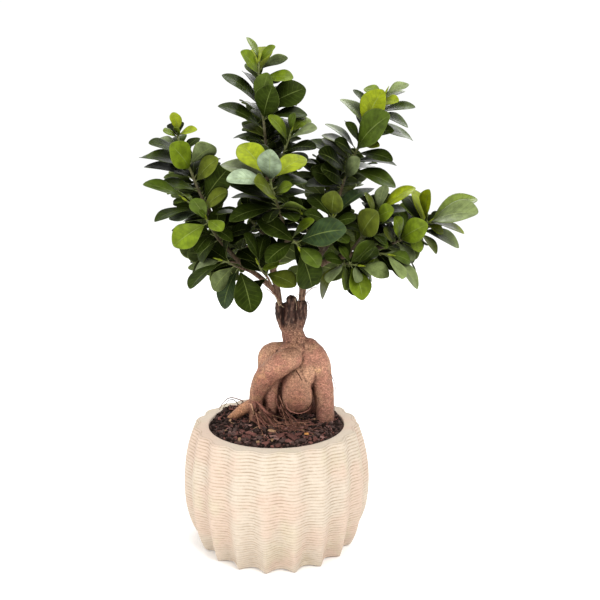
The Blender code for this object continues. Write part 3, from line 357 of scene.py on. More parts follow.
# Leafy shoots: name, graft, the share of the route that is the branch's wood, radius at the foot and
# at the tip, leaves by rule, and the route (x, z, depth) on the front plane, from inside the wood to
# the tip. Then a letter for each read leaf's colour, and the leaves as the viewer sees them: stalk x,
# z, tip x, z, real length, tip nearer (-1) or farther (1) than the stalk, and the share of its width
# that shows, below 0 where the underside does.
SHOOT_ROWS = [
    ("crown", "left", 0.26, (1.6, 0.9), 7,
     [(-6, 288, 9), (-6, 310, 9), (-7, 335, 8), (-9, 358, 7), (-12, 380, 6), (-12, 401, 5)],
     "ylddgdddmllglllddok", [
         (-12, 388, -9, 413, 30, 1, 0.95), (-12, 401, -21, 420, 21, -1, 0.4),
         (-12, 366, -41, 392, 40, -1, 0.42), (-10, 349, -45, 368, 41, -1, 0.40),
         (-11, 359, -27, 371, 28, 1, 0.25), (-12, 376, -24, 394, 28, 1, 0.45),
         (-9, 356, -2, 383, 34, -1, 0.95), (-10, 364, 25, 381, 38, 1, 0.9), (-11, 373, -5, 393, 28, 1, 0.9),
         (-12, 390, -26, 409, 24, -1, 0.5), (-12, 399, 1, 413, 20, -1, 0.55),
         (-12, 394, 11, 404, 26, 1, -0.5), (-12, 386, 15, 389, 30, -1, 0.5),
         (-12, 383, 5, 387, 22, -1, 0.6), (-12, 388, -22, 399, 18, -1, 0.6),
         (-9, 357, 26, 362, 36, -1, 0.4), (-7, 338, -33, 344, 28, 1, 0.35), (-7, 341, -23, 353, 24, 1, 0.7),
         (-7, 335, -23, 341, 24, -1, 0.35)]),
    ("crown_side", "left", 0.3, (1.3, 0.8), 3,
     [(-6, 288, 9), (-3, 304, 3), (3, 322, -2), (10, 338, -5), (13, 348, -7)],
     "llgkddm", [
         (10, 338, -4, 361, 28, 1, 0.6), (12, 346, 27, 359, 24, 1, 0.85), (11, 342, 34, 350, 27, -1, 0.4),
         (7, 332, 33, 336, 30, -1, 0.45), (4, 325, -13, 333, 26, -1, 0.5), (6, 330, 26, 325, 26, -1, 0.4),
         (13, 348, 16, 362, 16, -1, 0.6)]),
    ("centre_front", "left", 0.3, (1.4, 0.9), 5,
     [(10, 262, -16), (6, 276, -26), (2, 289, -34), (-2, 301, -40), (-4, 311, -43)],
     "ybybldgddldd", [
         (-4, 311, -28, 338, 37, 1, 0.9), (-4, 308, -3, 334, 32, -1, 0.95), (-3, 309, 25, 327, 34, 1, 0.7),
         (-3, 306, -39, 310, 38, -1, 0.5), (0, 297, 14, 306, 18, -1, 0.7), (1, 292, -37, 305, 40, -1, 0.4),
         (-2, 303, -43, 323, 42, 1, 0.5), (2, 288, -35, 296, 39, 1, 0.3), (2, 287, -38, 277, 41, -1, 0.5),
         (3, 286, 25, 286, 26, -1, -0.35), (-1, 302, 24, 311, 30, 1, 0.6), (1, 291, 27, 301, 32, 1, 0.4)]),
    ("left", "left", 0.16, (1.5, 0.8), 8,
     [(-50, 274, -5), (-57, 290, -6), (-63, 304, -7), (-69, 320, -8), (-75, 335, -9), (-78, 346, -9)],
     "yyllgdlmddgdoddm", [
         (-78, 346, -80, 363, 18, 1, 0.9), (-77, 344, -62, 350, 17, -1, 0.5),
         (-76, 339, -89, 348, 16, -1, 0.45), (-75, 336, -77, 350, 15, -1, 0.8),
         (-75, 335, -98, 341, 24, 1, 0.4), (-73, 329, -101, 338, 31, -1, 0.35),
         (-68, 317, -84, 338, 30, -1, 0.9), (-68, 317, -103, 330, 38, -1, 0.42),
         (-65, 310, -105, 322, 42, 1, 0.35), (-69, 319, -108, 328, 41, 1, 0.35),
         (-69, 320, -48, 337, 28, -1, -0.85), (-72, 330, -60, 343, 20, 1, 0.6),
         (-64, 306, -46, 327, 29, -1, 0.7), (-58, 292, -36, 320, 37, -1, 0.95),
         (-62, 301, -50, 313, 24, 1, 0.7), (-62, 300, -93, 307, 33, -1, 0.45)]),
    ("left_side", "left", 0.3, (1.3, 0.8), 4,
     [(-47, 267, -5), (-54, 277, -12), (-63, 286, -18), (-72, 293, -22)],
     "mlmdbo", [
         (-72, 293, -107, 306, 38, -1, 0.42), (-66, 288, -78, 301, 20, -1, 0.4),
         (-71, 292, -83, 292, 14, -1, 0.6), (-62, 285, -99, 278, 39, -1, 0.32),
         (-60, 283, -87, 279, 29, -1, 0.7), (-60, 284, -38, 301, 28, -1, 0.6)]),
    ("left_low", "left", 0.34, (1.3, 0.8), 4,
     [(-35, 249, -6), (-44, 258, -18), (-51, 268, -27), (-56, 278, -33)],
     "lldddmd", [
         (-56, 278, -43, 268, 20, -1, 0.85), (-55, 275, -84, 256, 35, -1, 0.92),
         (-50, 266, -66, 251, 25, -1, 0.7), (-46, 261, -64, 246, 26, 1, 0.8),
         (-53, 271, -35, 260, 24, 1, 0.7), (-56, 278, -62, 285, 12, -1, 0.6),
         (-48, 264, -84, 270, 38, 1, 0.5)]),
    ("left_bottom", "left", 0.3, (1.2, 0.8), 3,
     [(-20, 235, -4), (-30, 238, -14), (-38, 242, -20), (-44, 244, -23)],
     "gdgcdd", [
         (-44, 244, -68, 231, 29, 1, 0.5), (-41, 243, -71, 220, 38, -1, 0.35),
         (-33, 240, -52, 219, 29, -1, -0.85), (-30, 239, -43, 203, 39, -1, 0.7),
         (-27, 237, -20, 200, 39, -1, 0.95), (-38, 242, -61, 240, 27, -1, 0.8)]),
    ("bottom_centre", "left", 0.3, (1.3, 0.8), 3,
     [(9, 259, -14), (13, 261, -22), (17, 259, -30), (19, 255, -35)],
     "dlmcddd", [
         (12, 262, -15, 277, 31, -1, 0.7), (13, 263, 31, 278, 26, -1, 0.4),
         (19, 256, 36, 239, 28, -1, 0.85), (17, 258, 58, 270, 44, -1, 0.78),
         (15, 258, -8, 243, 31, -1, 0.8), (19, 255, 30, 221, 38, 1, 0.95), (16, 259, 34, 258, 26, 1, 0.6)]),
    ("bottom_left", "left", 0.3, (1.2, 0.8), 3,
     [(-3, 221, 5), (-6, 229, -8), (-11, 235, -18), (-14, 241, -24)],
     "olddd", [
         (-9, 233, 17, 223, 31, -1, 0.8), (-12, 237, 3, 240, 22, -1, 0.6),
         (-14, 241, -30, 253, 26, 1, 0.85), (-14, 241, -8, 266, 28, 1, 0.85),
         (-13, 240, -26, 266, 30, -1, 0.4)]),
    ("centre_right", "right", 0.3, (1.3, 0.8), 4,
     [(38, 252, 11), (42, 262, -2), (45, 272, -12), (47, 281, -18)],
     "ocddmdd", [
         (47, 281, 48, 300, 28, -1, 0.92), (46, 277, 80, 303, 44, 1, 0.35), (45, 273, 24, 283, 26, -1, 0.5),
         (45, 272, 66, 279, 25, -1, 0.6), (43, 266, 60, 258, 24, -1, 0.6), (46, 278, 28, 298, 32, 1, 0.8),
         (44, 269, 22, 270, 28, 1, 0.6)]),
    ("right_top", "right", 0.2, (1.5, 0.8), 8,
     [(49, 284, 8), (53, 300, 6), (58, 315, 5), (66, 334, 4), (76, 354, 3), (87, 376, 2)],
     "plydpymmmdmydmodddgmddd", [
         (87, 375, 106, 385, 22, -1, 0.5), (87, 374, 71, 382, 20, 1, 0.7), (72, 346, 85, 380, 38, -1, 0.8),
         (78, 358, 62, 380, 28, 1, 0.4), (74, 350, 53, 374, 33, 1, 0.5), (84, 368, 98, 372, 16, -1, 0.6),
         (64, 330, 91, 361, 42, -1, 0.65), (80, 362, 112, 366, 34, -1, 0.35),
         (79, 360, 107, 352, 30, -1, 0.4), (70, 342, 95, 349, 28, -1, 0.5),
         (74, 350, 110, 341, 38, 1, 0.35), (68, 338, 84, 337, 18, -1, 0.7), (64, 330, 95, 325, 33, -1, 0.5),
         (66, 334, 40, 354, 34, 1, 0.3), (62, 324, 38, 343, 32, 1, 0.6), (60, 320, 26, 340, 40, 1, 0.45),
         (60, 319, 35, 329, 28, -1, 0.6), (55, 306, 30, 317, 30, -1, 0.9), (57, 311, 67, 328, 24, -1, -0.5),
         (59, 316, 98, 304, 42, -1, 0.5), (62, 324, 98, 321, 38, 1, 0.3), (54, 303, 24, 305, 32, -1, 0.35),
         (56, 309, 34, 318, 26, 1, 0.6)]),
    ("right_mid", "right", 0.3, (1.3, 0.8), 4,
     [(58, 248, 2), (65, 256, -8), (72, 266, -14), (80, 276, -18), (85, 284, -20)],
     "golodml", [
         (83, 281, 89, 306, 30, 1, 0.8), (70, 262, 83, 284, 34, -1, 0.9), (80, 276, 96, 286, 22, -1, 0.8),
         (79, 275, 73, 300, 30, 1, 0.6), (73, 267, 57, 273, 22, -1, 0.6), (77, 272, 98, 278, 24, -1, 0.5),
         (67, 259, 65, 273, 20, -1, 0.5)]),
    ("right", "right", 0.24, (1.4, 0.8), 6,
     [(84, 254, -3), (96, 258, -5), (107, 263, -7), (117, 269, -8), (125, 275, -9)],
     "ydylpyypollmgol", [
         (121, 272, 113, 303, 34, 1, 0.6), (119, 271, 106, 298, 32, 1, 0.75),
         (125, 275, 125, 302, 28, 1, 0.55), (125, 275, 164, 295, 44, 1, 0.5),
         (124, 274, 165, 284, 43, -1, 0.55), (125, 275, 155, 267, 32, -1, 0.3),
         (123, 273, 138, 267, 18, -1, 0.7), (117, 269, 151, 255, 38, -1, 0.5),
         (115, 267, 133, 250, 27, -1, 0.35), (101, 260, 124, 274, 29, -1, 0.95),
         (112, 266, 119, 251, 20, -1, 0.95), (108, 264, 96, 290, 30, 1, 0.7),
         (99, 259, 113, 243, 24, -1, 0.7), (97, 258, 88, 270, 20, -1, 0.6),
         (101, 260, 98, 280, 24, -1, 0.5)]),
    ("right_low", "right", 0.3, (1.3, 0.8), 4,
     [(43, 244, 6), (52, 243, -8), (60, 241, -18), (68, 240, -25)],
     "lolgppgmd", [
         (62, 241, 73, 211, 34, -1, 0.85), (54, 242, 38, 212, 36, 1, 0.4), (57, 242, 57, 219, 27, -1, 0.5),
         (65, 240, 67, 226, 20, -1, 0.6), (68, 240, 94, 231, 29, -1, 0.75), (66, 240, 80, 228, 22, 1, 0.5),
         (60, 241, 44, 226, 24, -1, 0.4), (62, 241, 52, 256, 22, 1, 0.6), (58, 242, 41, 246, 22, -1, 0.6)]),
    ("right_under", "right", 0.34, (1.3, 0.8), 4,
     [(68, 250, 0), (76, 250, -12), (85, 250, -20), (92, 249, -25)],
     "gpplm", [
         (86, 250, 105, 243, 24, -1, 0.75), (92, 249, 118, 220, 39, 1, 0.45),
         (90, 249, 104, 228, 27, -1, 0.45), (83, 250, 76, 236, 20, 1, 0.6), (92, 249, 112, 243, 24, 1, 0.7)]),
    ("inner_left", "left", 0.3, (1.3, 0.8), 8,
     [(-26, 240, -6), (-28, 250, 2), (-30, 262, 6), (-32, 275, 8)]),
    ("inner_centre", "left", 0.3, (1.3, 0.8), 7,
     [(-5, 262, 9), (-12, 268, -2), (-19, 276, -10), (-24, 285, -14)]),
    ("inner_right", "right", 0.3, (1.3, 0.8), 7,
     [(38, 253, 11), (32, 260, 0), (26, 269, -8), (22, 280, -13)]),
    ("inner_far", "right", 0.3, (1.3, 0.8), 7,
     [(68, 251, 0), (74, 260, 8), (78, 272, 14), (80, 286, 18)]),
    ("back_top", "left", 0.3, (1.5, 0.8), 11,
     [(-6, 284, 9), (-4, 305, 26), (-6, 326, 40), (-8, 348, 50), (-8, 366, 56)]),
    ("back_left", "left", 0.3, (1.4, 0.8), 10,
     [(-42, 258, -5), (-48, 274, 14), (-56, 292, 32), (-64, 308, 44), (-68, 320, 50)]),
    ("back_centre", "left", 0.26, (1.4, 0.8), 10,
     [(-11, 270, 48), (-10, 280, 64), (-6, 292, 78), (-2, 302, 88)]),
    ("back_low", "left", 0.26, (1.4, 0.8), 9,
     [(-9, 258, 32), (-22, 256, 50), (-34, 256, 64), (-44, 258, 74)]),
    ("low_left", "left", 0.34, (1.3, 0.8), 8,
     [(-28, 242, -6), (-42, 244, 8), (-54, 246, 22), (-64, 248, 32)]),
    ("back_right", "right", 0.26, (1.5, 0.8), 10,
     [(49, 270, 54), (54, 286, 64), (60, 304, 72), (66, 320, 78)]),
    ("back_high", "right", 0.26, (1.4, 0.8), 9,
     [(46, 274, 9), (42, 290, 24), (42, 306, 38), (48, 324, 48)]),
    ("low_right", "right", 0.26, (1.4, 0.8), 9,
     [(44, 260, 36), (54, 254, 54), (64, 250, 68), (74, 248, 80)]),
    ("far_right", "right", 0.3, (1.4, 0.8), 9,
     [(76, 252, -2), (88, 258, 18), (98, 266, 36), (106, 274, 48)]),
    ("under", "right", 0.34, (1.3, 0.8), 7,
     [(31, 236, 8), (30, 240, 24), (26, 244, 42), (18, 248, 58)]),
]
SHOOTS = {}
for ending, graft, wood, radius, fill, route, *read in SHOOT_ROWS:
    tones, readings = read or ("", [])
    SHOOTS["shoot_" + ending] = {"node": "branch_" + graft, "wood": wood, "radius": radius, "fill": fill,
                                 "route": route, "tones": tones, "leaves": readings}

# Places where the light shows between the branches, kept free of leaves placed by rule: x, z, radius
LIGHT_GAPS = [
    (-52, 356, 20), (-31, 321, 7), (-32, 300, 5), (-34, 292, 3), (38, 362, 13), (42, 388, 22),
    (-70, 372, 14), (60, 394, 20), (112, 326, 17), (130, 318, 16), (140, 240, 18), (76, 303, 5),
    (68, 288, 3), (13, 205, 17), (-92, 290, 6), (-98, 262, 14), (-90, 238, 16), (15, 241, 2.5),
    (-26, 277, 2), (0, 212, 8), (55, 212, 8), (-60, 214, 14), (90, 216, 13), (130, 262, 3),
    (-95, 350, 12), (30, 372, 7), (-38, 338, 5),
]

# Tones of the leaves, by the letters that the shoots use; black stands for leaves in deep shade, and pale and
# bluish are painted sheen, the white surround mirrored in glossy leaves
TONES = {"k": "black_and_shade", "d": "dark", "m": "mid", "o": "olive", "l": "light", "y": "young", "p": "pale",
         "b": "bluish_sheen", "c": "cool", "g": "grey"}

# Leaves read between the others: colour, stalk x, z, tip x, z, length, share of the width that shows
LATE_LEAVES = {
    "shoot_right_top": [
        ("g", 57.3, 309.5, 68.3, 326.9, 26, 0.8), ("k", 61.9, 332.5, 94.3, 349.7, 40, 0.4),
        ("k", 56.4, 319.0, 35.4, 331.7, 30, 0.45), ("k", 55.7, 305.5, 37.9, 319.0, 28, 0.6),
        ("d", 64.9, 340.3, 56.8, 355.1, 24, 0.5), ("k", 60.3, 328.5, 48.2, 341.1, 24, 0.5),
        ("d", 55.0, 301.5, 62.1, 315.9, 20, 0.5), ("o", 56.1, 345.0, 37.7, 345.8, 22, 0.35),
    ],
    "shoot_right_mid": [
        ("y", 93.2, 293.5, 114.0, 303.1, 28, 0.5),
    ],
    "shoot_centre_front": [
        ("o", 1.5, 288.6, -16.1, 307.9, 28, 0.35), ("k", -0.8, 301.5, 8.8, 291.1, 22, 0.6),
        ("k", 2.3, 287.0, -5.9, 275.7, 24, 0.6), ("k", -2.4, 304.7, -10.6, 293.5, 22, 0.5),
        ("d", 3.9, 283.8, 16.9, 275.7, 24, 0.5), ("p", 0.7, 287.8, 22.6, 286.2, 26, 0.3),
    ],
    "shoot_right": [
        ("k", 124.6, 275.7, 113.2, 300.7, 32, 0.5), ("y", 132.4, 283.8, 127.0, 301.5, 24, 0.5),
    ],
}

# Fillings that round off the root's skin: between arm, chest and belly, and behind the crown's furrows
FLESH = [
    [(25.5, 162, 4, 9.5), (27, 154, 3, 9.5), (26, 147, 1, 8.6), (24, 141.5, 0, 7.4)],
    [(10, 166, 1, 8.6), (15, 166, 1, 9.0)],
    [(7.6, 188, 12, 3.6), (7.8, 198, 12, 3.4), (7.8, 206, 12, 3.0)],
    [(18.2, 190, 11, 4.0), (18.2, 200, 11, 3.6), (18.0, 207, 11, 3.0)],
]

# Furrows of the crown, sunk and painted nearly black as shade: x, half width, lowest and highest z on the
# front plane
FURROWS = [(5.9, 1.9, 188.0, 212.0), (16.6, 1.3, 192.0, 210.0)]

# Chips on the soil that show clearly: x, z on the front plane, size, colour
BARK_READ = [
    (2, 90, 9, "rust"), (9, 92, 8, "rust"), (14, 88, 10, "rust"), (19, 91, 7, "rust"),
    (6, 86, 8, "brown"), (11, 85, 7, "rust"), (-22, 92, 9, "rust"), (-30, 95, 8, "rust"),
    (-36, 96, 7, "brown"), (-26, 89, 8, "rust"), (-15, 88, 8, "brown"), (-4, 94.5, 7, "tan"),
    (25, 91.5, 6, "orange"), (30, 93, 6, "rust"), (22, 86, 7, "brown"), (-10, 84, 7, "rust"),
    (35, 92, 6, "brown"), (-42, 99, 6, "rust"), (1, 82, 6, "rust"), (17, 83, 6, "brown"),
]

CHIP_TINTS = ("rust", "rust", "rosy", "rosy", "brown", "brown", "tan")

# Thin roots: radius, colour, and points (x, z, depth) on the front plane; a depth of None lies on the soil
# Those in the dark crease colour are mostly lines of painted shade along the root's creases; some run on over
# the soil
ROOTLETS = [
    (0.9, "leg", [(-14, 119, -7), (-6, 112, -9), (6, 108, None), (20, 105, None), (36, 100, None)]),
    (0.8, "tan", [(-15, 113, -5), (-8, 107, None), (4, 107.5, None), (18, 103.5, None), (29, 100, None)]),
    (0.7, "leg", [(-12, 109, None), (-2, 104, None), (5, 102, None), (13, 102, None)]),
    (0.5, "leg", [(8, 121, -15), (11, 114.5, -17), (19, 112, -18), (27, 114.5, -15), (30, 119, -8)]),
    (1.3, "leg", [(-20, 124, -3), (-17, 115, -7), (-12, 108, None), (-4, 104, None), (6, 101, None)]),
    (1.1, "tan", [(-22, 121, -2), (-19, 112, -6), (-15, 105, None), (-9, 101, None), (0, 99, None)]),
    (0.9, "leg", [(-16, 121, -4), (-11, 114, -8), (-6, 108, None), (2, 104.5, None)]),
    (0.6, "tan", [(-10, 114, 0), (-3, 110, -6), (8, 106, None), (16, 101, None)]),
    (0.7, "crease", [(-6, 116, -3), (-1, 111, -7), (6, 110, None), (14, 108, None), (24, 106, None)]),
    (0.5, "crease", [(17, 150, -14), (18.5, 147, -18), (21, 143, -16), (22, 141, -14)]),
    (0.32, "crease", [(45.5, 148, 3), (48.5, 142, 0), (50.6, 134, 0), (50.8, 124, 0), (49.5, 114, 2)]),
    (0.4, "crease", [(-31, 117, 22), (-34, 122, 22), (-38, 124.5, 22), (-42, 122, 22), (-46, 116, 22)]),
    (0.5, "tan", [(-33, 119, 22), (-26, 121, 26), (-18, 120, 30)]),
    (0.5, "scar",
     [(-25, 119, 18), (-31, 124, 18), (-38, 126, 17), (-43, 124, 16), (-46.5, 120, 15), (-49, 115, 14)]),
    (0.4, "crease",
     [(20.5, 183, 8), (26, 178.6, 8), (31.5, 175.4, 7), (37, 171, 6), (41.2, 165, 5), (44.5, 158, 4)]),
    (0.4, "leg", [(-0.2, 126, -4), (0.6, 121, -6), (3, 114, -8), (7, 109, None), (14, 106, None)]),
    (0.3, "root_pale", [(2.3, 128, -5), (4.5, 122, -8), (7, 116, -10), (12, 111, None), (22, 107, None)]),
    (1.0, "leg", [(-17, 122, -5), (-12, 117, -9), (-7, 111, -10), (1, 106, None), (12, 103.5, None)]),
    (0.5, "speck", [(-24, 99, None), (-21, 95, None), (-17, 90, None)]),
    (0.5, "leg", [(4, 120, -6), (3, 114, -9), (7, 109, None), (15, 106, None)]),
    (0.4, "crease", [(26, 122, -6), (28, 114, -8), (33, 108, None), (38, 106, None)]),
]
TANGLE_STARTS = [(-19, 118, 0), (-15, 113, -3), (-9, 112, 0), (-18, 111, 2), (-12, 108, -2), (6, 114, -4)]

# Bark strands and tendrils at the grafts: radius, colour, and points (x, z, depth) on the front plane
GRAFT_STRANDS = [
    (0.6, "pale", [(3, 206, 4), (1.5, 211, 4), (-2, 216, 3), (-9, 221, 1)]),
    (0.5, "red", [(5, 206, 4), (2, 213, 3), (-4, 219, 1), (-12, 226, -4)]),
    (0.4, "pale", [(2, 211, 4), (4, 207, 3), (7, 204.5, 2)]),
    (0.45, "bark", [(23, 212, 5), (26, 217, 3), (31, 221, 2), (36, 221, 2)]),
    (0.3, "dark", [(26, 210, 6), (28, 206, 5), (27.5, 201, 5), (26, 197, 5)]),
    (0.3, "pale", [(19, 216, 5), (16, 212, 3), (17.5, 207, 2), (17, 202, 2)]),
    (0.35, "red", [(20, 214, 5), (18.5, 209, 3), (19.5, 203, 2)]),
]

# Lamps: name, place in metres, diameter, power in watts
LIGHTS = [
    ("key", (0.5, -1.05, 1.25), 0.6, 15.0),
    ("fill", (-1.0, -0.8, 0.5), 0.9, 6.5),
    ("top", (0.1, 0.15, 1.5), 0.9, 6.5),
    ("back", (0.3, 1.2, 1.0), 0.9, 7.0),
]
LIGHT_TARGET = (0.02, 0.0, 0.2)
SENSOR_WIDTH = 36.0
FLOOR_SIDES = 96
FLOOR_DROP = 0.0002


def seen(x, z, depth):
    """The point at this depth that the viewer sees at (x, z) of the front plane."""
    scale = (depth - EYE.y) / -EYE.y
    return Vector((EYE.x + (x - EYE.x) * scale, depth, EYE.z + (z - EYE.z) * scale))


def flattened(point):
    """Where on the front plane the viewer sees a point: x and z."""
    scale = (point.y - EYE.y) / -EYE.y
    return EYE.x + (point.x - EYE.x) / scale, EYE.z + (point.z - EYE.z) / scale


def seen_at_height(x, z, height):
    """The point at this height that the viewer sees at (x, z) of the front plane."""
    scale = (height - EYE.z) / (z - EYE.z)
    return Vector((EYE.x + (x - EYE.x) * scale, EYE.y - EYE.y * scale, height))


def smooth_route(points, steps):
    """Points along the smooth curve that runs through the given ones."""
    guides = [2 * points[0] - points[1], *points, 2 * points[-1] - points[-2]]
    route = []
    for before, start, end, after in zip(guides, guides[1:], guides[2:], guides[3:]):
        for step in range(steps):
            t = step / steps
            route.append(0.5 * (2 * start + (end - before) * t
                                + (2 * before - 5 * start + 4 * end - after) * t ** 2
                                + (3 * start - before - 3 * end + after) * t ** 3))
    route.append(points[-1].copy())
    return route


def directions(route):
    """The route's heading at each of its points."""
    ends = [route[0], *route, route[-1]]
    return [(after - before).normalized() for before, after in zip(ends, ends[2:])]


def limb_route(limb, steps):
    """A limb's centre line in space with its radius at each point."""
    route = smooth_route([seen(x, z, depth) for x, z, depth, radius in limb], steps)
    radii = smooth_route([Vector((radius, 0, 0)) for x, z, depth, radius in limb], steps)
    return route, [radius.x for radius in radii]


def smoothstep(low, high, value):
    """0 below low, 1 above high, and an even ramp between them."""
    share = min(1.0, max(0.0, (value - low) / (high - low)))
    return share * share * (3 - 2 * share)


def relief(point, height, across, along):
    """How far a noisy surface stands out at a point, by the relief's height and its widths."""
    return height * noise.noise(Vector((point.x / across, point.y / across, point.z / along)))


def grow_tube(bm, route, radii, sides):
    """A closed tube: a capped circle, extruded from point to point along a route."""
    place = None
    across = None
    for point, heading, radius in zip(route, directions(route), radii):
        across = heading.orthogonal() if across is None else across - heading * across.dot(heading)
        across.normalize()
        turned = Matrix((across, heading.cross(across), heading)).transposed().to_4x4()
        frame_here = Matrix.Translation(point) @ turned @ Matrix.Scale(radius, 4)
        if place is None:
            made = bmesh.ops.create_circle(bm, cap_ends=True, segments=sides, radius=1.0, matrix=frame_here)
            verts = list(made["verts"])
            end = verts[0].link_faces[0]
        else:
            grown = bmesh.ops.extrude_face_region(bm, geom=[end])["geom"]
            ring = [item for item in grown if isinstance(item, bmesh.types.BMVert)]
            end = next(item for item in grown if isinstance(item, bmesh.types.BMFace))
            bmesh.ops.transform(bm, matrix=frame_here @ place.inverted(), verts=ring)
            verts += ring
        place = frame_here
    faces = list({face for vert in verts for face in vert.link_faces})
    bmesh.ops.recalc_face_normals(bm, faces=faces)
    return verts, faces


def make_piece(name, bm, materials, node=None):
    """An object in metres from a mesh in millimetres, which rides on the plant's one body."""
    bmesh.ops.scale(bm, vec=(MM, MM, MM), verts=bm.verts)
    for face in bm.faces:
        face.smooth = True
    mesh = bpy.data.meshes.new(name)
    bm.to_mesh(mesh)
    bm.free()
    for material in materials:
        mesh.materials.append(material)
    piece = bpy.data.objects.new(name, mesh)
    bpy.context.scene.collection.objects.link(piece)
    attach(piece, BODY)
    if node:
        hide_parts(node)
    return piece


def melted(bm, voxel, passes):
    """The mesh's shapes melted into one skin, in millimetres, and smoothed."""
    bmesh.ops.scale(bm, vec=(MM, MM, MM), verts=bm.verts)
    mesh = bpy.data.meshes.new("melting")
    bm.to_mesh(mesh)
    thing = bpy.data.objects.new("melting", mesh)
    bpy.context.scene.collection.objects.link(thing)
    melt = thing.modifiers.new("melt", "REMESH")
    melt.mode = "VOXEL"
    melt.voxel_size = voxel * MM
    smooth = thing.modifiers.new("smooth", "SMOOTH")
    smooth.factor = 0.5
    smooth.iterations = passes
    depsgraph = bpy.context.evaluated_depsgraph_get()
    skin = bpy.data.meshes.new_from_object(thing.evaluated_get(depsgraph))
    bm.clear()
    bm.from_mesh(skin)
    bmesh.ops.scale(bm, vec=(1 / MM, 1 / MM, 1 / MM), verts=bm.verts)
    bpy.data.objects.remove(thing, do_unlink=True)
    bpy.data.meshes.remove(mesh)
    bpy.data.meshes.remove(skin)
    return bm


def shoot_axis(shoot):
    """The whole centre line of a shoot, its headings, and where its wood ends and its own node starts."""
    route = smooth_route([seen(*point) for point in shoot["route"]], STEM_STEPS)
    cut = max(1, round(shoot["wood"] * (len(route) - 1)))
    return route, directions(route), cut


def shoot_radii(shoot, count):
    """The stem's radius at each point of its centre line."""
    thick, thin = shoot["radius"]
    return [thick + (thin - thick) * step / (count - 1) for step in range(count)]


def trial_tube(route, headings, radii, sides):
    """A rough tube that stands for a stem while leaves are placed; it isn't shown."""
    bm = bmesh.new()
    across = headings[0].orthogonal().normalized()
    rings = []
    for point, heading, radius in zip(route, headings, radii):
        across = (across - heading * across.dot(heading)).normalized()
        over = heading.cross(across)
        ring = []
        for side in range(sides):
            turn = 2 * math.pi * side / sides
            ring.append(bm.verts.new(point + radius * (math.cos(turn) * across + math.sin(turn) * over)))
        rings.append(ring)
    for low, high in zip(rings, rings[1:]):
        for side in range(sides):
            follow = (side + 1) % sides
            bm.faces.new((low[side], low[follow], high[follow], high[side]))
    bm.faces.new(list(reversed(rings[0])))
    bm.faces.new(rings[-1])
    bmesh.ops.triangulate(bm, faces=bm.faces)
    return bm


def trial_stem(shoot):
    """The shoot's own stem, from just past the end of its wood to its tip."""
    route, headings, cut = shoot_axis(shoot)
    radii = shoot_radii(shoot, len(route))
    start = route[cut] + headings[cut] * GAP
    return trial_tube([start, *route[cut + 1:]], headings[cut:], radii[cut:], STEM_SIDES)


def trial_wood(node):
    """All the wood of a graft: its limbs and the first stretch of every shoot it carries."""
    tubes = []
    for limb in BRANCHES[node].values():
        route, radii = limb_route(limb, 1)
        tubes.append(trial_tube(route, directions(route), radii, BRANCH_SIDES))
    for shoot in SHOOTS.values():
        if shoot["node"] == node:
            route, headings, cut = shoot_axis(shoot)
            radii = shoot_radii(shoot, len(route))
            tubes.append(trial_tube(route[:cut + 1], headings[:cut + 1], radii[:cut + 1], STEM_SIDES))
    return tubes


class Leaf:
    """A leaf's place: its stalk's root on a stem's axis, its tip, and the way its upper side faces."""

    def __init__(self, root, tip, upper, arch=LEAF_ARCH):
        self.root = root
        self.tip = tip
        self.along = (tip - root).normalized()
        self.upper = (upper - self.along * upper.dot(self.along)).normalized()
        self.across = self.along.cross(self.upper)
        self.length = (tip - root).length
        self.half_width = 0.5 * LEAF_WIDTH * self.length
        self.arch = arch

    def point(self, share, side, lift=0.0, spread=0.0):
        """A point of the blade: share of the way to the tip, -1 to 1 across, and lift off its middle."""
        rise = 4 * share * (1 - share) * self.arch * self.length
        half = self.half_width * leaf_outline(share) + spread
        fold = LEAF_FOLD * half * abs(side)
        return (self.root + self.along * (share * self.length) + self.across * (side * half)
                + self.upper * (rise + fold + lift))


def leaf_outline(share):
    """Half the blade's width, as a share of its widest, at a share of the leaf's length."""
    if share < STALK_SHARE:
        return 0.0
    reach = (share - STALK_SHARE) / (1 - STALK_SHARE)
    return math.sin(math.pi * reach ** LEAF_TIPWARD) ** LEAF_FULLNESS


def trial_leaf(leaf, grown=0.0, stalk=True):
    """Vertices and triangles of the plain body that stands for a leaf while others are placed.

    Grown by 1 it takes up the room kept round it; without its stalk it ends where the blade starts.
    """
    points = []
    for share in STATIONS:
        spread = CLEAR_SPREAD * grown + (STALK_WIDTH / 2 if share == STALK_SHARE else 0.0)
        points.append(leaf.point(share, -1, CLEAR_LIFT * grown, spread))
        points.append(leaf.point(share, 1, CLEAR_LIFT * grown, spread))
        points.append(leaf.point(share, 0, -BLADE_THICKNESS - CLEAR_SPREAD * grown))
    tip = len(points)
    points.append(leaf.point(1, 0) + leaf.along * (CLEAR_TIP * grown))
    points.append(leaf.root - leaf.along * STALK_SINK if stalk else leaf.point(STALK_SHARE, 0))
    faces = []
    last = tip - 3
    for corner in range(3):
        follow = (corner + 1) % 3
        faces.append((tip + 1, follow, corner))
        for low in range(0, last, 3):
            faces.append((low + corner, low + follow, low + 3 + follow))
            faces.append((low + corner, low + 3 + follow, low + 3 + corner))
        faces.append((last + corner, last + follow, tip))
    return points, faces


def tree_of(points, faces):
    """A search tree over triangles, for finding what crosses them."""
    return BVHTree.FromPolygons([tuple(point) for point in points], faces, all_triangles=True)


def mesh_tree(bm):
    """The search tree of a mesh, which is then freed."""
    bm.verts.index_update()
    points = [vert.co.copy() for vert in bm.verts]
    faces = [tuple(vert.index for vert in face.verts) for face in bm.faces]
    bm.free()
    return tree_of(points, faces)


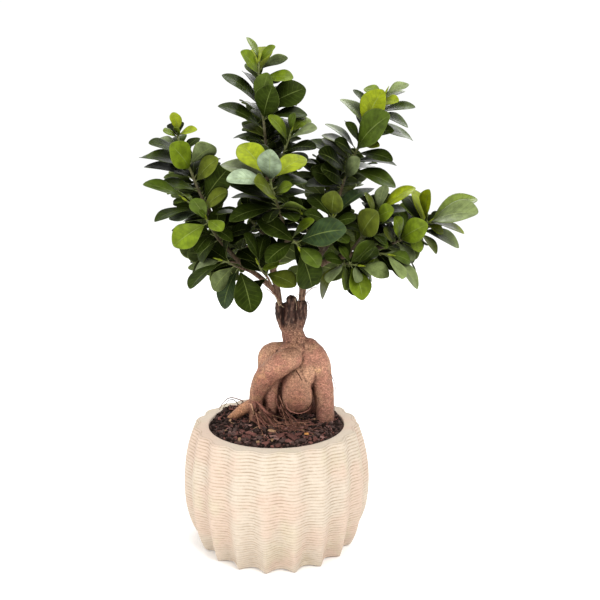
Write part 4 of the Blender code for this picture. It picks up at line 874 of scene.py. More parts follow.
class Crowd:
    """What has been placed, to keep each new leaf clear of it."""

    def __init__(self):
        self.solids = []
        self.leaves = []

    def add_wood(self, bm, owner):
        self.solids.append((mesh_tree(bm), owner))

    def settle(self, leaf, owner, tone, read=False):
        """Keep a leaf where it is, in its tone. Leaves that were read aren't to be hidden by later ones."""
        leaf.tone = tone
        leaf.read = read
        self.leaves.append((leaf, owner, tree_of(*trial_leaf(leaf)), tree_of(*trial_leaf(leaf, 0, False))))

    def leaves_of(self, owner):
        """The leaves of one shoot, in the order in which they were placed."""
        return [leaf for leaf, other, full, bare in self.leaves if other == owner]

    def crosses(self, leaf, owner, grown=1.0):
        """True where the leaf would touch anything but the stem that it grows from."""
        whole = tree_of(*trial_leaf(leaf, grown))
        blade = tree_of(*trial_leaf(leaf, grown, False))
        for tree, other in self.solids:
            if (blade if other == owner else whole).overlap(tree):
                return True
        middle = (leaf.root + leaf.tip) / 2
        for placed, other, full, bare in self.leaves:
            reach = (placed.length + leaf.length) * NEIGHBOUR_REACH
            if ((placed.root + placed.tip) / 2 - middle).length > reach:
                continue
            if other == owner and blade.overlap(bare):
                return True
            if other != owner and whole.overlap(full):
                return True
        return False


def stem_points(route, cut):
    """Points along a stem, past its wood, from which leaves can grow."""
    points = []
    for start, end in zip(route[cut:], route[cut + 1:]):
        points += [start.lerp(end, (step + 0.5) / STALKS_PER_STRETCH) for step in range(STALKS_PER_STRETCH)]
    return points


def nearest_to(points, x, z):
    """The point that the viewer sees nearest to (x, z) of the front plane."""
    return min(points, key=lambda point: math.dist(flattened(point), (x, z)))


def seen_leaf(root, reading, shift, squareness):
    """A leaf from its reading: its tip's depth follows from its length, plus a shift that keeps the view."""
    stalk_x, stalk_z, tip_x, tip_z, length, side, shown = reading
    flat = seen(tip_x, tip_z, root.y)
    spare = length ** 2 - (flat - root).length_squared
    lean = side * math.sqrt(max(spare, 0.0))
    tip = seen(tip_x, tip_z, root.y + lean + shift)
    along = (tip - root).normalized()
    to_eye = EYE - (root + tip) / 2
    facing = (to_eye - along * to_eye.dot(along)).normalized()
    sideways = facing.cross(along)
    if sideways.z < 0:
        sideways = -sideways
    shown *= squareness
    upper = facing * shown + sideways * math.sqrt(1 - shown ** 2)
    return Leaf(root, tip, upper)


def rule_leaf(route, headings, cut, share, turn, rng, lengths):
    """A leaf placed by rule: a share along the stem, turned round it, lower ones spreading wider."""
    place = cut + share * (len(route) - 1 - cut)
    index = min(int(place), len(route) - 2)
    root = route[index].lerp(route[index + 1], place - index)
    heading = headings[index]
    outward = Matrix.Rotation(turn, 3, heading) @ heading.orthogonal().normalized()
    spread = BASE_SPREAD + (TIP_SPREAD - BASE_SPREAD) * share + rng.uniform(-SPREAD_PLAY, SPREAD_PLAY)
    along = heading * math.cos(spread) + outward * math.sin(spread)
    along.z -= DROOP
    length = rng.uniform(*lengths) * (1 - TIP_SHORTENING * share ** 3)
    upper = heading + outward * FACE_OUT + Vector((0, 0, FACE_UP))
    return Leaf(root, root + along.normalized() * length, upper, arch=rng.uniform(*RULE_ARCHES))


def in_light_gap(leaf):
    """True where the leaf would fill a place where light shows through."""
    for share in LIGHT_SHARES:
        flat_x, flat_z = flattened(leaf.point(share, 0))
        for x, z, radius in LIGHT_GAPS:
            if math.hypot(flat_x - x, flat_z - z) < radius + leaf.half_width / 2:
                return True
    return False


def hides_read_leaf(leaf, crowd):
    """True where the leaf would stand between the viewer and a leaf that was read."""
    for share in LIGHT_SHARES:
        spot = leaf.point(share, 0)
        x, z = flattened(spot)
        for other, owner, full, bare in crowd.leaves:
            if not other.read or (other.root.y + other.tip.y) / 2 < spot.y:
                continue
            start, end = flattened(other.root), flattened(other.tip)
            way = Vector((end[0] - start[0], end[1] - start[1]))
            reach = max(LEAST_REACH, (x - start[0]) * way.x + (z - start[1]) * way.y) / way.length_squared
            reach = min(1.0, reach)
            gap = math.hypot(x - start[0] - reach * way.x, z - start[1] - reach * way.y)
            if gap < HIDING * other.half_width:
                return True
    return False


def outside_box(leaf):
    """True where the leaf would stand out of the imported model's box."""
    low, high = CAD_BOX
    for share, side in itertools.product(BOX_SHARES, (-1, 0, 1)):
        point = leaf.point(share, side, BOX_EDGE if side else 0.0) * MM
        for axis in range(3):
            if not low[axis] + BOX_MARGIN * MM < point[axis] < high[axis] - BOX_MARGIN * MM:
                return True
    return False


def hides_crown(leaf):
    """True where the leaf would hang before the root's crown, which stands free."""
    left, right, height = CROWN_STANDS_FREE
    spots = [flattened(leaf.point(share, 0)) for share in LIGHT_SHARES]
    return any(left < x < right and z < height for x, z in spots)


def standing_wood():
    """A crowd of all the stems and the root's crown, before any leaf is placed."""
    crowd = Crowd()
    for node in BRANCHES:
        for bm in trial_wood(node):
            crowd.add_wood(bm, node)
    for limb in ("stump", "left_lobe", "right_lobe"):
        route, radii = limb_route(LIMBS[limb], 2)
        radii = [radius + CROWN_ROOM for radius in radii]
        crowd.add_wood(trial_tube(route, directions(route), radii, CROWN_SIDES), "caudex")
    for name, shoot in SHOOTS.items():
        crowd.add_wood(trial_stem(shoot), name)
    return crowd


def place_read_leaves(crowd):
    """The leaves that were read, each at the first place tried where it touches nothing."""
    for name, shoot in SHOOTS.items():
        route, headings, cut = shoot_axis(shoot)
        points = stem_points(route, cut)
        for reading, tone in zip(shoot["leaves"], shoot["tones"]):
            for slide, facing, shift in itertools.product(STALK_SLIDES, FACINGS, TIP_SHIFTS):
                root = nearest_to(points, reading[0], reading[1] + slide)
                leaf = seen_leaf(root, reading, shift, facing)
                if leaf.length < LONGEST * reading[4] and not crowd.crosses(leaf, name):
                    crowd.settle(leaf, name, tone, True)
                    break


def place_late_leaves(crowd):
    """Leaves that were read between the others, where they touch nothing."""
    for name, readings in LATE_LEAVES.items():
        route, headings, cut = shoot_axis(SHOOTS[name])
        points = stem_points(route, cut)
        for tone, *reading in readings:
            for slide, side, shift in itertools.product(STALK_SLIDES, (-1, 1), TIP_SHIFTS):
                root = nearest_to(points, reading[0], reading[1] + slide)
                leaf = seen_leaf(root, (*reading[:5], side, reading[5]), shift, 1.0)
                if leaf.length > LATE_LONGEST * reading[4] or outside_box(leaf):
                    continue
                if not crowd.crosses(leaf, name, EXTRA_GROWN):
                    crowd.settle(leaf, name, tone, True)
                    break


def grows_behind(shoot):
    """True for a shoot that shows from the far side only, where more leaves are light, as painted light on
    the side that lies in shade.
    """
    return seen(*shoot["route"][-1]).y > BEHIND


def rule_tone(share, light):
    """The colour of a leaf placed by rule: lighter towards the shoot's tip, and often black low on the stem,
    as painted shade.
    """
    tones = next(tones for lowest, tones in RULE_TONES if share > lowest)
    return next(tone for least, tone in tones if light > least)


def place_rule_leaves(crowd, rng):
    """More leaves in each shoot, from its tip down; where others were read, only on the far side."""
    tints = random.Random(EXTRA_SEED)
    for name, shoot in SHOOTS.items():
        route, headings, cut = shoot_axis(shoot)
        turn = rng.uniform(0, 2 * math.pi)
        for slot in range(shoot["fill"]):
            turn += GOLDEN_ANGLE
            highest = HIGHEST_SHARE - (HIGHEST_SHARE - LOWEST_SHARE) * slot / shoot["fill"]
            for attempt, nudge in enumerate(RULE_TURNS):
                share = max(0.0, highest - SHARE_STEP * attempt)
                leaf = rule_leaf(route, headings, cut, share, turn + nudge, rng, RULE_LENGTHS)
                if shoot["leaves"] and leaf.tip.y < leaf.root.y:
                    continue
                if in_light_gap(leaf) or crowd.crosses(leaf, name):
                    continue
                light = tints.random()
                # Far shoots draw lighter tones, as painted light; low leaves draw black more often, as
                # painted shade
                crowd.settle(leaf, name, rule_tone(share, 0.5 + light / 2 if grows_behind(shoot) else light))
                break


def place_extra_leaves(crowd, extra, rng):
    """Leaves that thicken each shoot, on every side of it, where they cross and hide nothing."""
    for name, shoot in SHOOTS.items():
        route, headings, cut = shoot_axis(shoot)
        turn = rng.uniform(0, 2 * math.pi)
        for slot in range(extra):
            turn += GOLDEN_ANGLE
            highest = NEAR_SHARE * (1 - slot / extra)
            for nudge in RULE_TURNS:
                leaf = rule_leaf(route, headings, cut, highest, turn + nudge, rng, EXTRA_LENGTHS)
                if in_light_gap(leaf) or outside_box(leaf) or crowd.crosses(leaf, name, EXTRA_GROWN):
                    continue
                if hides_crown(leaf) or hides_read_leaf(leaf, crowd):
                    continue
                crowd.settle(leaf, name, rng.choice(BEHIND_TONES if grows_behind(shoot) else EXTRA_TONES))
                break


def place_leaves(extra):
    """A crowd with every shoot's leaves: those of the part, and then the extra ones between them."""
    crowd = standing_wood()
    place_read_leaves(crowd)
    place_rule_leaves(crowd, random.Random(SEED))
    place_late_leaves(crowd)
    place_extra_leaves(crowd, extra, random.Random(EXTRA_SEED))
    return crowd


class Finish:
    """A material in the making: its colour and its bumps, laid on step by step, and the nodes for them."""

    def __init__(self, name, roughness, specular=0.5, colour=None):
        self.colour = colour
        self.normal = None
        self.material = bpy.data.materials.new(name)
        self.material.use_nodes = True
        self.nodes = self.material.node_tree.nodes
        self.links = self.material.node_tree.links
        self.shader = self.nodes["Principled BSDF"]
        self.shader.inputs["Roughness"].default_value = roughness
        self.shader.inputs["Specular IOR Level"].default_value = specular
        self.coordinates = self.nodes.new("ShaderNodeTexCoord")
        self.place = self.coordinates.outputs["Object"]

    def feed(self, socket, value):
        """Link an output to a socket, or set a plain number or colour on it."""
        if isinstance(value, bpy.types.NodeSocket):
            self.links.new(value, socket)
        elif isinstance(value, (int, float)):
            socket.default_value = value
        else:
            socket.default_value = (*value[:3], 1.0) if len(socket.default_value) == 4 else value

    def sum(self, kind, first, second=0.0, third=0.0):
        """A Math node."""
        node = self.nodes.new("ShaderNodeMath")
        node.operation = kind
        for socket, value in zip(node.inputs, (first, second, third)):
            self.feed(socket, value)
        return node.outputs[0]

    def times(self, first, second):
        """The product of two values."""
        return self.sum("MULTIPLY", first, second)

    def inverse(self, value):
        """1 for 0, and 0 for 1."""
        return self.sum("SUBTRACT", 1.0, value)

    def stretched(self, x, y, z):
        """The object's coordinates, scaled along each axis by a Mapping node."""
        node = self.nodes.new("ShaderNodeMapping")
        node.inputs["Scale"].default_value = (x, y, z)
        self.feed(node.inputs["Vector"], self.place)
        return node.outputs[0]

    def grain(self, size, detail=2.0, rough=0.5, vector=None):
        """Noise whose features are about this many millimetres across."""
        node = self.nodes.new("ShaderNodeTexNoise")
        node.inputs["Scale"].default_value = 1 / (size * MM)
        node.inputs["Detail"].default_value = detail
        node.inputs["Roughness"].default_value = rough
        self.feed(node.inputs["Vector"], vector or self.place)
        return node.outputs["Fac"]

    def cells(self, size, vector):
        """The distance to the nearest of scattered points about this many millimetres apart."""
        node = self.nodes.new("ShaderNodeTexVoronoi")
        node.inputs["Scale"].default_value = 1 / (size * MM)
        self.feed(node.inputs["Vector"], vector)
        return node.outputs["Distance"]

    def ramp(self, value, low, high, start=0.0, end=1.0):
        """A smooth step between two values."""
        node = self.nodes.new("ShaderNodeMapRange")
        node.interpolation_type = "SMOOTHSTEP"
        for socket, item in zip(node.inputs, (value, low, high, start, end)):
            self.feed(socket, item)
        return node.outputs[0]

    def patches(self, size, detail, low, high, start=0.0, end=1.0, rough=0.5):
        """Blotches about this many millimetres across, with soft edges."""
        return self.ramp(self.grain(size, detail, rough), low, high, start, end)

    def dots(self, size, low, high, stretch=1.0):
        """Spots round scattered points about this many millimetres apart."""
        return self.inverse(self.ramp(self.cells(size, self.stretched(1, 1, stretch)), low, high))

    def mix(self, share, first, second, kind="MIX"):
        """A colour Mix node."""
        node = self.nodes.new("ShaderNodeMix")
        node.data_type = "RGBA"
        node.blend_type = kind
        for socket, value in zip((node.inputs[0], node.inputs[6], node.inputs[7]), (share, first, second)):
            self.feed(socket, value)
        return node.outputs[2]

    def cover(self, share, colour, kind="MIX"):
        """Lay a colour over a share of what is there."""
        self.colour = self.mix(share, self.colour, colour, kind)

    def shade(self, amount, low, high):
        """Make the colour darker or lighter by a 0 to 1 amount."""
        node = self.nodes.new("ShaderNodeHueSaturation")
        self.feed(node.inputs["Value"], self.ramp(amount, *SHADE_SPAN, low, high))
        self.feed(node.inputs["Color"], self.colour)
        self.colour = node.outputs[0]

    def attribute(self, name, output):
        """A value painted on the piece's own vertices."""
        node = self.nodes.new("ShaderNodeAttribute")
        node.attribute_name = name
        return node.outputs[output]

    def axis(self, vector, name):
        """One coordinate of a vector."""
        node = self.nodes.new("ShaderNodeSeparateXYZ")
        self.feed(node.inputs[0], vector)
        return node.outputs[name]

    def openness(self, reach, low, high):
        """0 where other surfaces stand within this many millimetres, 1 in the open; it sets where shade is
        painted.
        """
        node = self.nodes.new("ShaderNodeAmbientOcclusion")
        node.samples = OPENNESS_SAMPLES
        node.inputs["Distance"].default_value = reach * MM
        return self.ramp(node.outputs["AO"], low, high)

    def bump(self, height, depth):
        """Raise the surface by up to this many millimetres, on top of the bumps before."""
        node = self.nodes.new("ShaderNodeBump")
        node.inputs["Distance"].default_value = depth * MM
        self.feed(node.inputs["Height"], height)
        if self.normal:
            self.feed(node.inputs["Normal"], self.normal)
        self.normal = node.outputs[0]

    def done(self, roughness=None):
        """Feed the shader and hand the material over."""
        self.feed(self.shader.inputs["Base Color"], self.colour)
        self.feed(self.shader.inputs["Normal"], self.normal)
        if roughness:
            self.feed(self.shader.inputs["Roughness"], roughness)
        return self.material


def pot_finish(looks):
    """Matte cream clay in fine layers, with peach and straw patches, and painted shade in the grooves,
    stronger in the flute valleys.
    """
    finish = Finish("pot_clay", 0.85, 0.25, looks.cream)
    finish.cover(finish.patches(38, 2, 0.42, 0.62), looks.peach)
    straw = finish.grain(27, 2, 0.6, finish.stretched(1.3, 1.3, 0.7))
    finish.cover(finish.ramp(straw, 0.5, 0.7, 0.0, 0.7), looks.straw)
    # Painted shade in the grooves between the layers, broken into dashes
    dashes = finish.ramp(finish.grain(6, 2, 0.6, finish.stretched(1, 1, 2.5)), 0.35, 0.6, 0.3, 1.0)
    finish.cover(finish.times(finish.attribute("groove", "Fac"), dashes), looks.groove)
    finish.shade(finish.grain(1.1, 3), 0.94, 1.05)
    finish.bump(finish.grain(0.5, 3, 0.6), 0.06)
    finish.bump(finish.grain(4, 2), 0.15)
    return finish.done()


def soil_finish(looks):
    """Dark damp potting mix."""
    finish = Finish("soil_mix", 0.92, 0.1, looks.dark)
    lumps = finish.grain(2.2, 4, 0.65)
    finish.cover(finish.ramp(lumps, 0.35, 0.7), looks.brown)
    finish.cover(finish.patches(5, 3, 0.55, 0.68, 0.0, 0.5), looks.rust)
    finish.bump(lumps, 1.2)
    return finish.done()


def litter_finish(name, roughness):
    """Crumbs, bark or fibres, each with its own painted tone."""
    finish = Finish(name, roughness, 0.12)
    finish.colour = finish.attribute("tone", "Color")
    finish.shade(finish.grain(0.9, 3, 0.6), 0.6, 1.4)
    finish.bump(finish.grain(0.7, 4, 0.65), 0.35)
    return finish.done()


def root_finish(looks):
    """Warm tan root bark with pink and ochre patches, pale lenticels and a dark ridged crown, with painted
    shade in its folds, furrows and hollows and on the arm and belly in front.
    """
    finish = Finish("root_bark", 0.62, 0.2, looks.tan)
    side, depth, height = (finish.axis(finish.place, name) for name in "XYZ")
    ragged = finish.grain(7, 3, 0.6)
    fine = finish.grain(1.05, 5, 0.65)
    finish.cover(finish.patches(16, 3, 0.38, 0.62), looks.pink)
    finish.cover(finish.patches(11, 4, 0.52, 0.7, 0.0, 0.75, 0.6), looks.ochre)
    low = finish.inverse(finish.ramp(height, *LEG_TINT_Z))
    finish.cover(finish.times(low, 0.55), looks.leg)
    foot = finish.times(finish.inverse(finish.ramp(side, *FOOT_TINT_X)), low)
    finish.cover(finish.times(foot, 0.9), looks.foot)
    # Painted shade: the arm and belly in front are darkened, most of all low down under the arm
    front = finish.times(finish.ramp(depth, *ARM_SHADE_Y), finish.ramp(height, *ARM_SHADE_Z, 1.0, 0.35))
    finish.cover(front, looks.arm, "MULTIPLY")
    finish.shade(fine, 0.6, 1.4)
    finish.shade(finish.grain(2.1, 5, 0.75), 0.7, 1.32)
    finish.shade(ragged, 0.86, 1.14)
    finish.shade(finish.grain(1.6, 2, 0.5, finish.stretched(0.35, 0.35, 1.6)), 0.82, 1.15)
    specks = finish.times(finish.dots(2.1, 0.10, 0.24, 1.7), finish.patches(6, 2, 0.42, 0.6, 0.0, 0.75))
    finish.cover(specks, looks.speck)
    scars = finish.times(finish.dots(3.4, 0.06, 0.16, 1.4), finish.patches(9, 2, 0.45, 0.6, 0.0, 0.45))
    finish.cover(scars, looks.scar)
    uneven = finish.sum("ADD", height, finish.times(finish.sum("SUBTRACT", ragged, 0.5), 0.022))
    freckles = finish.patches(0.9, 4, 0.38, 0.57, 0.0, 0.95, 0.7)
    finish.cover(finish.times(finish.ramp(uneven, *NECK_TINT_Z), freckles), looks.neck)
    streaks = finish.ramp(finish.grain(2.4, 4, 0.65, finish.stretched(1, 1, 0.25)), 0.45, 0.66)
    bark = finish.mix(streaks, looks.crown_dark_and_shade, looks.crown)
    finish.cover(finish.ramp(uneven, *CROWN_TINT_Z, 0.0, 0.95), bark)
    # Painted shade: the folds of the skin are darkened, and the crown's furrows painted nearly black
    crease = finish.attribute("crease", "Fac")
    finish.cover(finish.ramp(crease, 0.15, 0.9, 0.0, 0.75), looks.crease)
    finish.cover(finish.ramp(crease, 1.2, 2.0), looks.crown_dark_and_shade)
    # Painted shade wherever other surfaces of the root stand near
    occlusion_shade = finish.sum("SUBTRACT", 0.75, finish.openness(16, 0.1, 0.8))
    finish.cover(finish.sum("MAXIMUM", occlusion_shade, 0.0), looks.crease)
    finish.bump(fine, 1.0)
    finish.bump(finish.grain(4.5, 3), 0.8)
    return finish.done(finish.ramp(ragged, 0.3, 0.7, 0.52, 0.72))


def wood_finish(looks):
    """Grey-brown bark of the grafts, in long flakes with pale lenticels, darkened higher up among the leaves
    as painted shade.
    """
    finish = Finish("graft_bark", 0.75, 0.15, looks.dark)
    flakes = finish.grain(1.6, 4, 0.65, finish.stretched(1, 1, 0.3))
    finish.cover(finish.ramp(flakes, 0.35, 0.68), looks.bark)
    finish.cover(finish.patches(6, 3, 0.5, 0.66, 0.0, 0.7), looks.red)
    finish.cover(finish.times(finish.dots(1.7, 0.12, 0.24), 0.55), looks.pale)
    # Painted shade: the wood darkens upwards, where it runs in among the leaves
    finish.cover(finish.ramp(finish.axis(finish.place, "Z"), *TWIG_SHADE_Z, 0.0, 0.85), looks.twig_shade)
    finish.bump(flakes, 0.4)
    return finish.done()


def blade_finish(looks, under):
    """The upper or lower side of a leaf: painted tone, pale midrib, side veins and a thin light edge, with
    painted shade towards the stalk and where other leaves stand near.
    """
    finish = Finish("leaf_under" if under else "leaf_upper", 0.6 if under else 0.4)
    finish.shader.inputs["Specular Tint"].default_value = (*looks.gloss, 1.0)
    spot = finish.coordinates.outputs["UV"]
    along = finish.axis(spot, "Y")
    side = finish.times(finish.sum("ABSOLUTE", finish.sum("SUBTRACT", finish.axis(spot, "X"), 0.5)), 2.0)
    finish.colour = finish.attribute("tone", "Color")
    green, blue = (finish.axis(finish.colour, name) for name in "YZ")
    fresh = finish.sum("MULTIPLY_ADD", blue, 3.0, green)
    gloss = finish.ramp(fresh, 0.02, 0.11, 0.02, 0.05 if under else 0.13)
    finish.feed(finish.shader.inputs["Specular IOR Level"], gloss)
    if under:
        finish.cover(0.4, looks.underside)
    finish.shade(finish.grain(6, 3), 0.66, 1.32)
    # Painted shade: darker towards the stalk
    finish.shade(finish.ramp(along, 0.05, 0.7), 0.72, 1.06)
    ribs = finish.sum("SUBTRACT", finish.times(along, VEINS), finish.times(side, VEIN_SLANT))
    vein = finish.inverse(finish.ramp(finish.sum("PINGPONG", ribs, 0.5), 0.0, 0.13))
    vein = finish.times(vein, finish.ramp(side, 0.95, 0.55))
    finish.cover(finish.times(vein, 0.32), looks.vein)
    middle = finish.inverse(finish.ramp(side, 0.012, 0.05))
    middle = finish.times(middle, finish.ramp(along, 1.0, 0.7, 0.25, 1.0))
    finish.cover(finish.times(middle, 0.7 if under else 0.42), looks.midrib)
    finish.cover(finish.ramp(side, 0.93, 1.0, 0.0, 0.55), looks.midrib)
    # Painted shade: the blade turns black where other leaves stand near
    finish.cover(finish.inverse(finish.openness(26, 0.1, 0.75)), looks.black_and_shade)
    relief = finish.sum("ADD", finish.times(vein, 0.35), middle)
    finish.bump(finish.times(relief, 1.0 if under else -1.0), 0.16)
    finish.bump(finish.grain(0.9, 2), 0.05)
    smoothest, dullest = (0.52, 0.68) if under else (0.34, 0.48)
    return finish.done(finish.ramp(finish.grain(7, 2), 0.3, 0.7, smoothest, dullest))


def stem_finish(looks):
    """Young stem: green, browner where the painted tone says so, with pale dots."""
    finish = Finish("young_stem", 0.55, 0.25)
    finish.colour = finish.attribute("tone", "Color")
    finish.shade(finish.grain(1.3, 3), 0.75, 1.25)
    finish.cover(finish.times(finish.dots(1.5, 0.1, 0.22), 0.4), looks.midrib)
    finish.bump(finish.grain(0.6, 3), 0.12)
    return finish.done()


def floor_finish(looks):
    """Plain pale studio floor."""
    finish = Finish("studio_floor", 0.95, 0.0, looks.floor)
    finish.shade(finish.grain(60, 2), 0.995, 1.005)
    finish.bump(finish.grain(8, 2), 0.02)
    return finish.done()


def belly_radius(height):
    """The pot's radius over its flute crests."""
    fall = POT_BELLY_RADIUS - POT_FOOT_RADIUS
    return POT_BELLY_RADIUS - fall * abs((height - POT_BELLY_HEIGHT) / POT_BELLY_HEIGHT) ** POT_BELLY_POWER


def flute(turn, height):
    """How far down a flute the wall lies: 0 on a crest, which is sharp at the foot only, 1 in a valley."""
    wave = math.sin(FLUTES * (turn - FLUTE_TURN) / 2)
    top = math.hypot(1, FLUTE_CREST_SOFTNESS) - FLUTE_CREST_SOFTNESS
    sharp = (math.hypot(wave, FLUTE_CREST_SOFTNESS) - FLUTE_CREST_SOFTNESS) / top
    return sharp + (wave ** 2 - sharp) * smoothstep(*CRESTS_ROUND_OFF, height)


def straightened(turn, height, share):
    """Where a crest of this angle lies on the wall, so that the crests in front run straight down."""
    narrowing = (belly_radius(height) / FLUTE_STRAIGHT - 1) * share
    placed = turn
    for step in range(4):
        placed = turn - narrowing * math.sin(placed)
    return placed


def flute_depth(height):
    """How deep the flutes are cut at a height of the wall."""
    return FLUTE_DEPTH_FOOT + (FLUTE_DEPTH_BELLY - FLUTE_DEPTH_FOOT) * min(1, height / POT_BELLY_HEIGHT)


def bare_wall():
    """The wall without its beads, from the foot's edge over the shoulder to the lip: radius, height."""
    shoulder_low = POT_HEIGHT - POT_SHOULDER
    edge = belly_radius(shoulder_low)
    line = []
    for step in range(int((shoulder_low - FOOT_ROUND) / WALL_FINENESS) + 1):
        height = FOOT_ROUND + step * WALL_FINENESS
        line.append(Vector((belly_radius(height), height)))
    for turn in range(0, 91, 15):
        drop = POT_SHOULDER * (1 - math.cos(math.radians(turn)))
        line.append(Vector((edge - drop, shoulder_low + POT_SHOULDER * math.sin(math.radians(turn)))))
    return line


def walked(line, reach):
    """The point this far along a line, and the way in from there."""
    for start, end in zip(line, line[1:]):
        way = (end - start).normalized()
        step = (end - start).length
        if reach <= step:
            break
        reach -= step
    return start + way * reach, Vector((-way.y, way.x))


def pot_wall(pitch, cut):
    """The pot from the middle of its foot over the wall to the lip: radius, height, flute, groove."""
    outline = [(0.0, 0.0, 0.0, 0.0), (POT_FOOT_RADIUS * 0.6, 0.0, 0.0, 0.0)]
    for turn in (0, 30, 60):
        inward = FOOT_ROUND * (1 - math.sin(math.radians(turn)))
        height = FOOT_ROUND * (1 - math.cos(math.radians(turn)))
        outline.append((belly_radius(height) - inward, height, FLUTE_DEPTH_FOOT, 0.0))
    line = bare_wall()
    lip = POT_MOUTH_RADIUS + LIP_ROUND
    flat_edge = line[-1].x
    line.append(Vector((lip, POT_HEIGHT)))
    travel = sum((end - start).length for start, end in zip(line, line[1:]))
    beads = int((travel - (flat_edge - lip) + BEADS_ON_TOP) / pitch)
    for bead in range(beads):
        for station in BEAD_STATIONS:
            point, inward = walked(line, (bead + station) * pitch)
            sunk = 1 - math.sin(math.pi * station) ** BEAD_ROUNDNESS
            point += inward * cut * sunk
            fade = min(1.0, (point.x - lip) / (flat_edge - lip))
            outline.append((point.x, point.y, flute_depth(point.y) * fade, sunk))
    last = walked(line, beads * pitch)[0].x
    for share in (0.1, 0.4, 0.7):
        radius = last + (lip - last) * share
        fade = (radius - lip) / (flat_edge - lip)
        outline.append((radius, POT_HEIGHT, FLUTE_DEPTH_BELLY * fade, 0.0))
    for turn in (0, 30, 60, 90):
        outward = LIP_ROUND * (1 - math.sin(math.radians(turn)))
        height = POT_HEIGHT - LIP_ROUND * (1 - math.cos(math.radians(turn)))
        outline.append((POT_MOUTH_RADIUS + outward, height, 0.0, 0.0))
    return outline


def pot_inside():
    """The pot's plain inner wall from the mouth down to the middle of its floor."""
    widest = belly_radius(MOUTH_WIDEST) - FLUTE_DEPTH_BELLY - POT_WALL
    lowest = belly_radius(POT_FLOOR) - FLUTE_DEPTH_FOOT - POT_WALL
    return [(POT_MOUTH_RADIUS, POT_HEIGHT - MOUTH_DEPTH, 0.0, 0.0), (widest, MOUTH_WIDEST, 0.0, 0.0),
            (lowest, POT_FLOOR, 0.0, 0.0), (lowest / 2, POT_FLOOR, 0.0, 0.0), (0.0, POT_FLOOR, 0.0, 0.0)]


def turned(bm, outline, steps, layers):
    """An outline spun once round the axis, its values painted on the vertices."""
    line = []
    for values in outline:
        radius, height = values[:2]
        vert = bm.verts.new((radius * math.sin(FLUTE_TURN), -radius * math.cos(FLUTE_TURN), height))
        for layer, value in zip(layers, values[2:]):
            vert[layer] = value
        line.append(vert)
    edges = [bm.edges.new(pair) for pair in zip(line, line[1:])]
    bmesh.ops.spin(bm, geom=line + edges, axis=(0, 0, 1), cent=(0, 0, 0), dvec=(0, 0, 0),
                   angle=2 * math.pi, steps=steps, use_merge=True)
    bmesh.ops.remove_doubles(bm, verts=bm.verts, dist=0.001)
    bmesh.ops.recalc_face_normals(bm, faces=bm.faces)


def build_pot(looks):
    """The fluted pot in its fine clay layers."""
    bm = bmesh.new()
    flute_layer = bm.verts.layers.float.new("flute")
    groove_layer = bm.verts.layers.float.new("groove")
    cut = looks.bead_depth / MM
    outline = pot_wall(looks.bead_pitch / MM, cut) + pot_inside()
    turned(bm, outline, FLUTES * STEPS_PER_FLUTE, (flute_layer, groove_layer))
    for vert in bm.verts:
        if vert[flute_layer] <= 0:
            continue
        x, y, height = vert.co
        turn = math.atan2(x, -y)
        valley = flute(turn, height)
        filled = min(1.0, max(0.0, CREST_FILL * (1 - valley) + relief(vert.co, *RIPPLE_FILL)))
        reach = math.hypot(x, y) - WALL_INSET - vert[flute_layer] * valley + vert[groove_layer] * cut * filled
        # The grooves' painted shade is weaker on the crests than in the valleys
        vert[groove_layer] *= CREST_SHADE + (1 - CREST_SHADE) * valley
        turn = straightened(turn, height, min(1.0, vert[flute_layer] / FLUTE_DEPTH_BELLY))
        sway = relief(vert.co, *BEAD_WOBBLE)
        sway *= smoothstep(*WOBBLE_HEIGHTS[:2], height) * (1 - smoothstep(*WOBBLE_HEIGHTS[2:], height))
        vert.co = Vector((reach * math.sin(turn), -reach * math.cos(turn), height + sway))
    return make_piece("pot_fluted", bm, [pot_finish(looks)], "pot")


def soil_height(x, y):
    """The height of the soil's surface: mounds, lumps and a low, ragged edge."""
    height = SOIL_TOP + SOIL_RISE
    for rise, size, layer in SOIL_LUMPS:
        height += rise * noise.noise(Vector((x, y, layer)) / size)
    for centre_x, centre_y, rise, reach in SOIL_MOUNDS:
        height += rise * math.exp(-((x - centre_x) ** 2 + (y - centre_y) ** 2) / reach ** 2)
    depth, size = SOIL_RAGGED
    ragged = depth * noise.noise(Vector((x, y, 20)) / size)
    return height - SOIL_EDGE_DROP * smoothstep(*SOIL_EDGE, math.hypot(x, y) + ragged)


def build_soil(looks):
    """The potting mix: fills the pot, with a crumbly top."""
    bm = bmesh.new()
    outline = [(0.0, POT_FLOOR + GAP)]
    for radius, height, flute_here, groove in reversed(pot_inside()[:-2]):
        outline.append((radius - GAP, height + (GAP if height == POT_FLOOR else 0.0)))
    outline.append((POT_MOUTH_RADIUS - GAP, SOIL_TOP - SOIL_EDGE_DROP - 1))
    for ring in range(SOIL_RINGS + 1):
        outline.append(((POT_MOUTH_RADIUS - GAP) * (1 - ring / SOIL_RINGS), SOIL_TOP))
    turned(bm, outline, SOIL_STEPS, ())
    for vert in bm.verts:
        if vert.co.z > SOIL_TOP - 0.5:
            x, y = vert.co.x, vert.co.y
            rough = noise.fractal(Vector((x, y, 0)) / SOIL_CRUMBLE_SIZE, *SOIL_CRUMBLE)
            vert.co.z = soil_height(x, y) + looks.roughness / MM * rough
    return make_piece("soil_bed", bm, [soil_finish(looks)], "soil")


def scattered(rng, reach):
    """A random place on the soil's disc."""
    radius = reach * math.sqrt(rng.random())
    turn = rng.uniform(0, 2 * math.pi)
    return radius * math.cos(turn), radius * math.sin(turn)


def tilt_of(rng, most):
    """A random turn about the vertical with a random tilt."""
    turn = Matrix.Rotation(rng.uniform(0, 2 * math.pi), 4, "Z")
    lean_x = Matrix.Rotation(rng.uniform(-most, most), 4, "X")
    lean_y = Matrix.Rotation(rng.uniform(-most, most), 4, "Y")
    return turn @ (lean_x @ lean_y)


